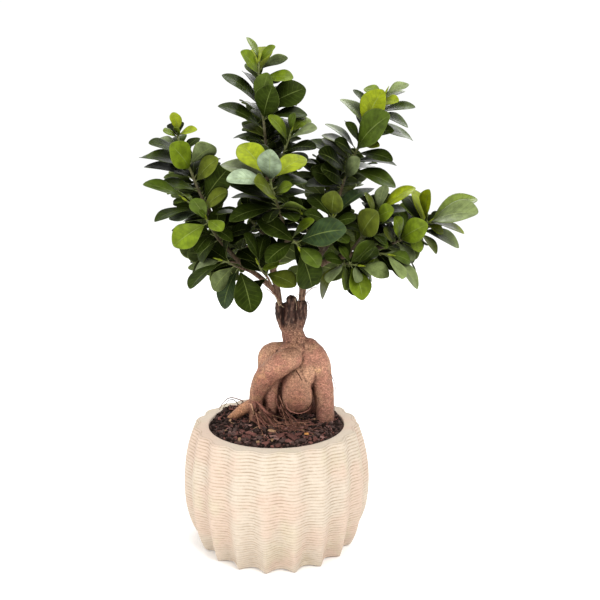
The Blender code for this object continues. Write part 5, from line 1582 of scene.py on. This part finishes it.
def shade_of(rng, colour, play):
    """A colour made randomly darker or lighter."""
    value = 1 + rng.uniform(-play, play)
    return (*(channel * value for channel in colour), 1.0)


def paint(verts, layer, shade, faces=(), slot=0):
    """Paint a tone on vertices, and give faces a material."""
    for vert in verts:
        vert[layer] = shade
    for face in faces:
        face.material_index = slot


def roughen(verts, rng, amount):
    """Push vertices about, so that a regular shape looks broken."""
    for vert in verts:
        vert.co += Vector((rng.uniform(-1, 1), rng.uniform(-1, 1), rng.uniform(-1, 1))) * amount


def build_crumbs(looks, rng):
    """Loose crumbs of potting mix over the bed."""
    bm = bmesh.new()
    tone_layer = bm.verts.layers.float_color.new("tone")
    colours = (looks.dark, looks.dark, looks.dark, looks.brown, looks.brown, looks.rust)
    for count in range(looks.crumbs):
        x, y = scattered(rng, POT_MOUTH_RADIUS - CRUMB_MARGIN)
        size = rng.triangular(*CRUMB_SIZES)
        squash = Matrix.Diagonal((1, *(rng.uniform(*span) for span in CRUMB_SQUASH), 1))
        middle = (x, y, soil_height(x, y) + LYING * size)
        place = Matrix.Translation(middle) @ tilt_of(rng, CRUMB_TILT) @ squash
        verts = bmesh.ops.create_icosphere(bm, subdivisions=1, radius=size, matrix=place)["verts"]
        roughen(verts, rng, CRUMB_BREAK * size)
        paint(verts, tone_layer, shade_of(rng, rng.choice(colours), 0.4))
    return make_piece("soil_crumbs", bm, [litter_finish("crumb", 0.92)])


def bark_chip(bm, place, size, rng):
    """One chip of bark: a flat block with broken faces."""
    corners = bmesh.ops.create_cube(bm, size=1.0)["verts"]
    edges = list({edge for vert in corners for edge in vert.link_edges})
    verts = bmesh.ops.bevel(bm, geom=edges, offset=CHIP_BEVEL, affect="EDGES", segments=1, profile=0.5,
                            material=-1)["verts"]
    bmesh.ops.scale(bm, vec=size, verts=verts)
    roughen(verts, rng, CHIP_BREAK * size[2])
    for vert in verts:
        vert.co.z += CHIP_WARP * size[1] * math.sin(vert.co.x * CHIP_WAVE)
    bmesh.ops.transform(bm, matrix=place, verts=verts)
    return verts


def build_bark(looks, rng):
    """Chips of red-brown bark, a few pale or orange ones, and short fibres in the mix."""
    bm = bmesh.new()
    tone_layer = bm.verts.layers.float_color.new("tone")
    chips = [(seen_at_height(x, z, SOIL_TOP + 2), size, colour) for x, z, size, colour in BARK_READ]
    for count in range(looks.chips):
        x, y = scattered(rng, POT_MOUTH_RADIUS - CHIP_MARGIN)
        chips.append((Vector((x, y, 0)), rng.uniform(*CHIP_SIZES), rng.choice(CHIP_TINTS)))
    for point, size, colour in chips:
        shape = (size, *(size * rng.uniform(*span) for span in CHIP_SQUASH))
        height = soil_height(point.x, point.y) + LYING * shape[2] + 0.5
        place = Matrix.Translation((point.x, point.y, height)) @ tilt_of(rng, CHIP_TILT)
        shade = shade_of(rng, getattr(looks, colour), 0.3)
        paint(bark_chip(bm, place, shape, rng), tone_layer, shade)
    for count in range(looks.fibres):
        x, y = scattered(rng, POT_MOUTH_RADIUS - CHIP_MARGIN)
        heading = rng.uniform(0, 2 * math.pi)
        bend = rng.uniform(-FIBRE_BEND, FIBRE_BEND)
        points = []
        for step in range(len(FIBRE_RADII)):
            points.append(Vector((x, y, soil_height(x, y) + rng.uniform(*FIBRE_LIFT))))
            x += FIBRE_STEP * math.cos(heading)
            y += FIBRE_STEP * math.sin(heading)
            heading += bend
        if math.hypot(x, y) < POT_MOUTH_RADIUS - STRAND_MARGIN:
            shade = shade_of(rng, rng.choice((looks.tan, looks.rosy, looks.rust, looks.brown)), 0.3)
            paint(grow_tube(bm, points, FIBRE_RADII, 5)[0], tone_layer, shade)
    bmesh.ops.recalc_face_normals(bm, faces=bm.faces)
    return make_piece("soil_bark", bm, [litter_finish("bark_chip", 0.8)])


def paint_creases(bm):
    """Paint how deeply each vertex lies in a fold of the skin, from the mean of its neighbours, and in a
    furrow of the crown: how much painted shade it gets.
    """
    layer = bm.verts.layers.float.new("crease")
    bm.normal_update()
    for vert in bm.verts:
        middle = Vector((0, 0, 0))
        for edge in vert.link_edges:
            middle += edge.other_vert(vert).co
        sunk = (middle / len(vert.link_edges) - vert.co).dot(vert.normal)
        vert[layer] = min(1.0, max(0.0, sunk / CREASE_REACH))
    for spread in range(CREASE_SPREADS):
        values = []
        for vert in bm.verts:
            around = [edge.other_vert(vert)[layer] for edge in vert.link_edges]
            values.append(max(vert[layer], sum(around) / len(around)))
        for vert, value in zip(bm.verts, values):
            vert[layer] = value
    for vert in bm.verts:
        # The crown's furrows get the deepest painted shade
        vert[layer] = max(vert[layer], FURROW_SHADE * furrow(vert.co, vert.normal))


def root_relief(point, wrinkle):
    """How far the bark stands out at a point: slow swellings, long wrinkles, and ridges on the crown."""
    swell = relief(point, *SWELL_WIDE) + relief(point + SWELL_SHIFT, *SWELL_SMALL)
    folds = abs(relief(point, *FOLDS_LONG)) + abs(relief(point, *FOLDS_FINE))
    pocks = max(0.0, relief(point, *POCKS) - POCK_LEVEL)
    knots = smoothstep(*NECK_HEIGHTS, point.z) * abs(relief(point, *NECK_KNOTS))
    bark = RIDGE_LEVEL - abs(relief(point, *CROWN_RIDGES)) + relief(point, *CROWN_GRAIN)
    crown = smoothstep(CROWN_LOW, CROWN_HIGH, point.z + relief(point, *CROWN_EDGE))
    return (swell - wrinkle * (folds + pocks) + knots) * (1 - crown) + bark * crown


def furrow(point, normal):
    """How deep a point lies in one of the crown's furrows, which are sunk and painted dark as shade, from 0
    to 1.
    """
    x, z = flattened(point)
    x += relief(point, *FURROW_SWAY)
    depth = 0.0
    for middle, half, low, high in FURROWS:
        across = 1 - smoothstep(*FURROW_EDGE, abs(x - middle) / half)
        starts = smoothstep(low - FURROW_FADE, low + FURROW_FADE, z)
        ends = 1 - smoothstep(high - FURROW_FADE, high, z)
        depth = max(depth, across * starts * ends)
    return depth if normal.y < 0.2 else 0.0


def build_root(looks):
    """The swollen root: its limbs melted into one skin, wrinkled and creased, its folds and furrows marked
    for painted shade.
    """
    bm = bmesh.new()
    for limb in (*LIMBS.values(), *FLESH):
        for point, radius in zip(*limb_route(limb, ROOT_BALL_STEPS)):
            bmesh.ops.create_icosphere(bm, subdivisions=3, radius=radius, matrix=Matrix.Translation(point))
    melted(bm, looks.grain / MM, looks.smoothing)
    bm.normal_update()
    wrinkle = looks.wrinkles / MM
    for vert in bm.verts:
        rise = root_relief(vert.co, wrinkle) - FURROW_DEPTH * furrow(vert.co, vert.normal)
        vert.co += vert.normal * rise
    bmesh.ops.smooth_vert(bm, verts=bm.verts, factor=0.3, use_axis_x=True, use_axis_y=True, use_axis_z=True)
    paint_creases(bm)
    return make_piece("root_body", bm, [root_finish(looks)], "caudex")


def rootlet(bm, points, radius, sides, rng, layer, colour):
    """One thin root along a smooth, slightly restless route, tapering to its end."""
    route = smooth_route(points, 4)
    for point in route[1:-1]:
        sway = Vector((rng.uniform(-1, 1), rng.uniform(-1, 1), rng.uniform(-0.4, 1)))
        point += sway * radius * ROOTLET_SWAY
    radii = [radius * (1 - ROOTLET_TAPER * (step / (len(route) - 1)) ** 2) for step in range(len(route))]
    shade = shade_of(rng, colour, 0.2)
    paint(grow_tube(bm, route, radii, sides)[0], layer, shade)


def build_rootlets(looks, rng):
    """Thin roots that leave the knee and the legs and run over the soil, and loose hair roots."""
    bm = bmesh.new()
    layer = bm.verts.layers.float_color.new("tone")
    for radius, tint, points in ROOTLETS:
        route = []
        for x, z, depth in points:
            if depth is None:
                point = seen_at_height(x, z, SOIL_TOP + 2)
                point.z = soil_height(point.x, point.y) + radius * 0.7
            else:
                point = seen(x, z, depth)
            route.append(point)
        rootlet(bm, route, radius, 6, rng, layer, getattr(looks, tint))
    knee = [seen(x, z, depth) for x, z, depth in TANGLE_STARTS]
    for count in range(looks.tangle):
        start = rng.choice(knee) + Vector([rng.uniform(*span) for span in TANGLE_SPREAD])
        heading = rng.triangular(*TANGLE_HEADINGS)
        reach = rng.uniform(*TANGLE_REACH)
        points = [start]
        x, y = start.x, start.y
        for step in range(1, TANGLE_STEPS + 1):
            x += reach * math.cos(heading)
            y += reach * math.sin(heading)
            heading += rng.uniform(*TANGLE_BEND)
            ground = soil_height(x, y) + rng.uniform(*TANGLE_LIFT)
            fall = (ground - start.z) * step / TANGLE_FALL
            points.append(Vector((x, y, max(ground, start.z + fall))))
        if math.hypot(x, y) < POT_MOUTH_RADIUS - STRAND_MARGIN:
            tint = rng.choice((looks.leg, looks.leg, looks.scar, looks.root_pale))
            rootlet(bm, points, rng.choice(TANGLE_RADII), 5, rng, layer, tint)
    return make_piece("root_fine", bm, [litter_finish("rootlet", 0.7)])


def build_wood(node, looks):
    """The bare wood of one graft: its limbs and twigs melted together."""
    bm = bmesh.new()
    for limb in BRANCHES[node].values():
        route, radii = limb_route(limb, 3)
        grow_tube(bm, route, [radius * WOOD_SWELL for radius in radii], 10)
    for shoot in SHOOTS.values():
        if shoot["node"] == node:
            route, headings, cut = shoot_axis(shoot)
            radii = shoot_radii(shoot, len(route))
            grow_tube(bm, route[:cut + 2], radii[:cut + 2], 8)
    melted(bm, looks.grain / MM, 3)
    bm.normal_update()
    for vert in bm.verts:
        vert.co += vert.normal * (relief(vert.co, *WOOD_KNOTS) + relief(vert.co, *WOOD_GRAIN))
    return make_piece(node.replace("branch", "wood"), bm, [wood_finish(looks)], node)


def build_graft_fibres(looks, rng):
    """The strands of bark and thin tendrils round the two grafts."""
    bm = bmesh.new()
    layer = bm.verts.layers.float_color.new("tone")
    for radius, tint, points in GRAFT_STRANDS:
        rootlet(bm, [seen(*point) for point in points], radius, 6, rng, layer, getattr(looks, tint))
    return make_piece("graft_strands", bm, [litter_finish("graft_strand", 0.75)])


def blade_point(leaf, share, side, habit):
    """A point of the finished blade: the part's leaf with a soft fold, a rolled tip and a wavy edge."""
    half = max(leaf.half_width * habit["width"] * leaf_outline(min(share, TIP_WIDTH_SHARE)), BLADE_BASE_HALF)
    if share > TIP_WIDTH_SHARE:
        share -= TIP_ROUND * side * side
    rise = 4 * share * (1 - share) * leaf.arch * leaf.length
    fold = LEAF_FOLD * habit["fold"] * half * abs(side) ** FOLD_SOFTNESS
    swing = math.sin(share * habit["waves"] + habit["phase"] + 2 * (side > 0))
    wave = habit["wave"] * half * side * side * swing
    roll = habit["roll"] * leaf.length * share ** 3
    return (leaf.root + leaf.along * (share * leaf.length) + leaf.across * (side * half)
            + leaf.upper * (rise + fold + wave - roll))


def grow_leaf(bm, leaf, looks, layers, rng):
    """A finished leaf: a bent grid with rounded tip, given its thickness, on a short round stalk."""
    tone_layer, spot_layer = layers
    habit = {name: rng.uniform(*span) for name, span in HABITS.items()}
    rows = len(BLADE_ROWS) - 1
    made = bmesh.ops.create_grid(bm, x_segments=BLADE_ACROSS, y_segments=rows, size=1.0)["verts"]
    spots = {}
    for vert in made:
        side = vert.co.x
        share = BLADE_ROWS[round((vert.co.y + 1) / 2 * rows)]
        spots[vert] = (0.5 + side / 2, share)
        vert.co = blade_point(leaf, share, side, habit)
    blade = list({face for vert in made for face in vert.link_faces})
    for face in blade:
        for loop in face.loops:
            loop[spot_layer].uv = spots[loop.vert]
    bmesh.ops.recalc_face_normals(bm, faces=blade)
    if blade[0].normal.dot(leaf.upper) < 0:
        bmesh.ops.reverse_faces(bm, faces=blade)
    solid = bmesh.ops.solidify(bm, geom=blade, thickness=looks.thickness / MM)["geom"]
    faces = {item for item in solid if isinstance(item, bmesh.types.BMFace)} | set(blade)
    verts = {vert for face in faces for vert in face.verts}
    faces = list({face for vert in verts for face in vert.link_faces})
    bmesh.ops.recalc_face_normals(bm, faces=faces)
    shade = shade_of(rng, getattr(looks, TONES[leaf.tone]), LEAF_SHADE_PLAY)
    for vert in verts:
        vert[tone_layer] = shade
        for axis, (low, high) in enumerate(zip(*CAD_BOX)):
            vert.co[axis] = min(high / MM - BOX_SPARE, max(low / MM + BOX_SPARE, vert.co[axis]))
    for face in faces:
        face.material_index = UNDER_SLOT if face.normal.dot(leaf.upper) < UNDER_FACING else 0
    base = blade_point(leaf, STALK_SHARE * PETIOLE_REACH, 0, habit)
    middle = leaf.point(STALK_SHARE / 2, 0)
    radii = [PETIOLE_RADIUS * share for share in PETIOLE_TAPER]
    stalk, skin = grow_tube(bm, [leaf.root, middle, base], radii, 6)
    paint(stalk, tone_layer, (*looks.petiole, 1.0), skin, STEM_SLOT)


def grow_stem(bm, shoot, looks, layer):
    """The shoot's own stem, browner towards its foot, with a pointed bud at its tip."""
    route, headings, cut = shoot_axis(shoot)
    radii = shoot_radii(shoot, len(route))
    start = route[cut] - headings[cut] * GAP
    fine = smooth_route([start, *route[cut + 1:]], 3)
    thin = [radii[cut] + (radii[-1] - radii[cut]) * step / (len(fine) - 1) for step in range(len(fine))]
    verts, faces = grow_tube(bm, fine, thin, STEM_ROUND_SIDES)
    foot, top = Vector(looks.stem), Vector(looks.petiole)
    paint(verts, layer, (*top, 1.0), faces, STEM_SLOT)
    for vert in verts:
        nearest = min(range(len(fine)), key=lambda index: (fine[index] - vert.co).length_squared)
        vert[layer] = (*foot.lerp(top, smoothstep(*STEM_BROWN, nearest / len(fine))), 1.0)
    heading = headings[-1]
    tip = route[-1]
    bud = [tip - heading, *(tip + heading * BUD_LENGTH * share for share in BUD_SHARES)]
    girth = [*(radii[-1] * swell for swell in BUD_SWELL), BUD_POINT]
    verts, faces = grow_tube(bm, bud, girth, STEM_ROUND_SIDES)
    paint(verts, layer, (*looks.young, 1.0), faces, STEM_SLOT)


def build_shoots(looks):
    """Every leafy shoot: its stem, its bud and its leaves."""
    crowd = place_leaves(looks.extra_leaves)
    finishes = [blade_finish(looks, False), blade_finish(looks, True), stem_finish(looks)]
    rng = random.Random(SEED)
    for name, shoot in SHOOTS.items():
        bm = bmesh.new()
        layers = (bm.verts.layers.float_color.new("tone"), bm.loops.layers.uv.new("blade"))
        grow_stem(bm, shoot, looks, layers[0])
        for leaf in crowd.leaves_of(name):
            grow_leaf(bm, leaf, looks, layers, rng)
        piece = make_piece(name.replace("shoot", "leaves"), bm, finishes, name)
        soften = piece.modifiers.new("soften", "SUBSURF")
        soften.levels = 1
        soften.render_levels = 1


def build_stage(looks):
    """A pale floor, soft lights, a white surround and the camera at the viewer's eye."""
    bm = bmesh.new()
    bmesh.ops.create_circle(bm, cap_ends=True, radius=looks.floor_radius, segments=FLOOR_SIDES,
                            matrix=Matrix.Translation((0, 0, -FLOOR_DROP)))
    mesh = bpy.data.meshes.new("floor")
    bm.to_mesh(mesh)
    bm.free()
    mesh.materials.append(floor_finish(looks))
    floor = bpy.data.objects.new("floor", mesh)
    bpy.context.scene.collection.objects.link(floor)
    for name, place, size, power in LIGHTS:
        lamp = bpy.data.lights.new(name, "AREA")
        lamp.shape = "DISK"
        lamp.size = size
        lamp.energy = power * looks.light
        light = bpy.data.objects.new(name, lamp)
        light.location = place
        aim = Vector(LIGHT_TARGET) - light.location
        light.rotation_euler = aim.to_track_quat("-Z", "Y").to_euler()
        bpy.context.scene.collection.objects.link(light)
    world = bpy.data.worlds.new("surround")
    world.use_nodes = True
    sky = world.node_tree.nodes["Background"]
    sky.inputs["Color"].default_value = (1, 1, 1, 1)
    sky.inputs["Strength"].default_value = looks.surround
    bpy.context.scene.world = world
    lens = bpy.data.cameras.new("viewer")
    lens.lens = looks.lens
    lens.sensor_width = SENSOR_WIDTH
    lens.clip_start = 0.01
    camera = bpy.data.objects.new("viewer", lens)
    camera.location = EYE * MM
    camera.rotation_euler = (math.pi / 2 - EYE_PITCH, 0, 0)
    bpy.context.scene.collection.objects.link(camera)
    bpy.context.scene.camera = camera
    bpy.context.scene.view_settings.view_transform = "Standard"


def tint(name, colour, description):
    """A colour that a user can change."""
    return FloatVectorProperty(name=name, description=description, subtype="COLOR", size=3, min=0, max=1,
                               default=colour)


def measure(name, value, description):
    """A length that a user can change, given in millimetres."""
    return FloatProperty(name=name, description=description, unit="LENGTH", min=0, default=value * MM,
                         precision=5)


def count(name, value, description):
    """A number of things that a user can change."""
    return IntProperty(name=name, description=description, default=value, min=0)


class FicusPotLooks(bpy.types.PropertyGroup):
    """Sizes and colours of the pot."""
    bead_pitch: measure("Bead pitch", 2.58, "Height of one clay layer")
    bead_depth: measure("Bead depth", 0.62, "Depth of the groove between two layers")
    cream: tint("Cream", (0.535, 0.457, 0.369), "The clay")
    peach: tint("Peach", (0.54, 0.421, 0.335), "Warmer patches")
    straw: tint("Straw", (0.516, 0.447, 0.333), "Yellower patches")
    # Painted shade in the grooves between the layers
    groove: tint("Groove", (0.31, 0.225, 0.15), "Between the layers")


class FicusSoilLooks(bpy.types.PropertyGroup):
    """Sizes and colours of the potting mix."""
    roughness: measure("Roughness", 0.8, "How far the surface crumbles up and down")
    crumbs: count("Crumbs", 2300, "Loose crumbs on the surface")
    chips: count("Chips", 130, "Bark chips placed at random")
    fibres: count("Fibres", 110, "Short fibres in the mix")
    dark: tint("Dark", (0.013, 0.007, 0.005), "Damp soil")
    brown: tint("Brown", (0.070, 0.042, 0.036), "Drier crumbs")
    rust: tint("Rust", (0.125, 0.052, 0.042), "Bark")
    rosy: tint("Rosy", (0.27, 0.15, 0.13), "Pale bark")
    tan: tint("Tan", (0.30, 0.18, 0.10), "Pale fibres and wood")
    orange: tint("Orange", (0.42, 0.19, 0.06), "A fresh chip")


class FicusRootLooks(bpy.types.PropertyGroup):
    """Sizes and colours of the swollen root."""
    grain: measure("Skin grain", 0.8, "Size of the cells that the limbs are melted into")
    smoothing: count("Smoothing", 5, "Passes that soften the melted skin")
    wrinkles: measure("Wrinkles", 0.45, "Depth of the long wrinkles")
    tangle: count("Tangle", 62, "Fine roots round the knee")
    tan: tint("Tan", (0.42, 0.232, 0.142), "Living bark")
    pink: tint("Pink", (0.355, 0.165, 0.11), "Redder patches")
    ochre: tint("Ochre", (0.46, 0.27, 0.138), "Yellower patches")
    # Painted shade on the arm and belly in front, deepest low down under the arm
    arm: tint("Arm", (0.67, 0.575, 0.58), "Tint of the arm and belly in front")
    leg: tint("Leg", (0.19, 0.08, 0.058), "Towards the soil")
    foot: tint("Foot", (0.39, 0.19, 0.10), "The bare orange foot")
    speck: tint("Speck", (0.46, 0.33, 0.22), "Pale lenticels")
    scar: tint("Scar", (0.12, 0.055, 0.036), "Dark lenticels")
    neck: tint("Neck", (0.115, 0.044, 0.027), "Reddish speckles under the crown")
    crown: tint("Crown", (0.185, 0.105, 0.074), "Old bark of the crown")
    # Dark streaks of the crown's bark, and the painted shade in its furrows
    crown_dark_and_shade: tint("Crown dark", (0.014, 0.007, 0.005), "Its furrows")
    # Painted shade in the root's folds and hollows, also the colour of thin dark lines that stand for shade
    # in its creases
    crease: tint("Crease", (0.05, 0.018, 0.012), "Dirt in the folds")
    root_pale: tint("Pale root", (0.27, 0.13, 0.085), "Fine roots that catch the light")


class FicusWoodLooks(bpy.types.PropertyGroup):
    """Sizes and colours of the grafts' wood."""
    grain: measure("Skin grain", 0.6, "Size of the cells that the limbs are melted into")
    bark: tint("Bark", (0.25, 0.155, 0.10), "Bark")
    dark: tint("Dark", (0.07, 0.036, 0.024), "Furrows")
    red: tint("Red", (0.17, 0.085, 0.055), "Reddish patches")
    pale: tint("Pale", (0.42, 0.30, 0.19), "Lenticels and dry strands")
    # Painted shade on the thin wood among the leaves
    twig_shade: tint("Twig", (0.045, 0.036, 0.018), "The thin wood among the leaves")


class FicusLeafLooks(bpy.types.PropertyGroup):
    """Sizes and colours of the leafy shoots."""
    thickness: measure("Thickness", 0.45, "Thickness of a blade")
    extra_leaves: count("Extra leaves", 30, "Leaves added to each shoot by rule")
    gloss: tint("Gloss", (1.0, 1.0, 0.6), "Tint of the highlights")
    # The deepest green of some leaves, which stands for deep shade, and the painted shade between leaves
    black_and_shade: tint("Black", (0.006, 0.009, 0.0015), "Deepest green")
    dark: tint("Dark", (0.017, 0.027, 0.003), "Old leaf")
    mid: tint("Mid", (0.042, 0.065, 0.006), "Grown leaf")
    olive: tint("Olive", (0.068, 0.084, 0.008), "Yellowing leaf")
    light: tint("Light", (0.088, 0.125, 0.006), "Fresh leaf")
    young: tint("Young", (0.16, 0.195, 0.004), "Young leaf")
    # Painted sheen: a pale green standing for the white surround mirrored in a glossy leaf
    pale: tint("Pale", (0.13, 0.165, 0.055), "Pale leaf")
    # Painted sheen: a bluish green standing for the white surround mirrored in a glossy leaf
    bluish_sheen: tint("Bluish", (0.21, 0.265, 0.17), "Bloomy leaf")
    cool: tint("Cool", (0.019, 0.033, 0.012), "Cool dark leaf")
    grey: tint("Grey", (0.115, 0.14, 0.06), "Greyish leaf")
    underside: tint("Underside", (0.10, 0.125, 0.04), "Lower side")
    midrib: tint("Midrib", (0.21, 0.26, 0.07), "Midrib and edge")
    vein: tint("Vein", (0.058, 0.086, 0.010), "Side veins")
    petiole: tint("Petiole", (0.10, 0.115, 0.032), "Stalk and young stem")
    stem: tint("Stem", (0.065, 0.05, 0.025), "Foot of the stem")


class FicusStageLooks(bpy.types.PropertyGroup):
    """The floor, the lights and the camera."""
    floor: tint("Floor", (1.0, 1.0, 1.0), "The floor")
    floor_radius: FloatProperty(name="Floor radius", description="Reach of the floor", unit="LENGTH",
                                default=8.0)
    light: FloatProperty(name="Light", description="Strength of the lamps", default=1.0, min=0)
    surround: FloatProperty(name="Surround", description="Strength of the white surround", default=1.03,
                            min=0)
    lens: FloatProperty(name="Lens", description="Focal length in millimetres", default=45.42, min=1)


class FicusPot(bpy.types.Operator):
    """Build the fluted pot"""
    bl_idname = "ficus.pot"
    bl_label = "Pot"

    def execute(self, context):
        build_pot(context.scene.ficus_pot)
        return {"FINISHED"}


class FicusSoil(bpy.types.Operator):
    """Build the potting mix with its crumbs, bark and fibres"""
    bl_idname = "ficus.soil"
    bl_label = "Soil"

    def execute(self, context):
        looks = context.scene.ficus_soil
        rng = random.Random(SEED)
        build_soil(looks)
        build_crumbs(looks, rng)
        build_bark(looks, rng)
        return {"FINISHED"}


class FicusRoot(bpy.types.Operator):
    """Build the swollen root and its thin roots"""
    bl_idname = "ficus.root"
    bl_label = "Root"

    def execute(self, context):
        looks = context.scene.ficus_root
        build_root(looks)
        build_rootlets(looks, random.Random(SEED))
        return {"FINISHED"}


class FicusWood(bpy.types.Operator):
    """Build the wood of the two grafts"""
    bl_idname = "ficus.wood"
    bl_label = "Grafts"

    def execute(self, context):
        looks = context.scene.ficus_wood
        for node in BRANCHES:
            build_wood(node, looks)
        build_graft_fibres(looks, random.Random(SEED))
        return {"FINISHED"}


class FicusShoots(bpy.types.Operator):
    """Build every leafy shoot"""
    bl_idname = "ficus.shoots"
    bl_label = "Leafy shoots"

    def execute(self, context):
        build_shoots(context.scene.ficus_leaves)
        return {"FINISHED"}


class FicusStage(bpy.types.Operator):
    """Build the floor, the lights and the camera"""
    bl_idname = "ficus.stage"
    bl_label = "Stage"

    def execute(self, context):
        build_stage(context.scene.ficus_stage)
        return {"FINISHED"}


class FicusPanel(bpy.types.Panel):
    """The plant's parts and their sizes and colours"""
    bl_idname = "VIEW3D_PT_ficus"
    bl_label = "Ginseng ficus"
    bl_space_type = "VIEW_3D"
    bl_region_type = "UI"
    bl_category = "Ficus"

    def draw(self, context):
        for operator, group in PARTS:
            box = self.layout.box()
            box.operator(operator.bl_idname)
            looks = getattr(context.scene, group)
            for name in looks.__annotations__:
                box.prop(looks, name)


GROUPS = {
    "ficus_pot": FicusPotLooks, "ficus_soil": FicusSoilLooks, "ficus_root": FicusRootLooks,
    "ficus_wood": FicusWoodLooks, "ficus_leaves": FicusLeafLooks, "ficus_stage": FicusStageLooks,
}
PARTS = [
    (FicusPot, "ficus_pot"), (FicusSoil, "ficus_soil"), (FicusRoot, "ficus_root"), (FicusWood, "ficus_wood"),
    (FicusShoots, "ficus_leaves"), (FicusStage, "ficus_stage"),
]


def register():
    for name, group in GROUPS.items():
        bpy.utils.register_class(group)
        setattr(bpy.types.Scene, name, PointerProperty(type=group))
    for operator, group in PARTS:
        bpy.utils.register_class(operator)
    bpy.utils.register_class(FicusPanel)


def unregister():
    bpy.utils.unregister_class(FicusPanel)
    for operator, group in PARTS:
        bpy.utils.unregister_class(operator)
    for name, group in GROUPS.items():
        delattr(bpy.types.Scene, name)
        bpy.utils.unregister_class(group)


def main():
    """Build everything."""
    register()
    bpy.ops.ficus.stage()
    bpy.ops.ficus.pot()
    bpy.ops.ficus.soil()
    bpy.ops.ficus.root()
    bpy.ops.ficus.wood()
    bpy.ops.ficus.shoots()


if __name__ == "__main__":
    main()
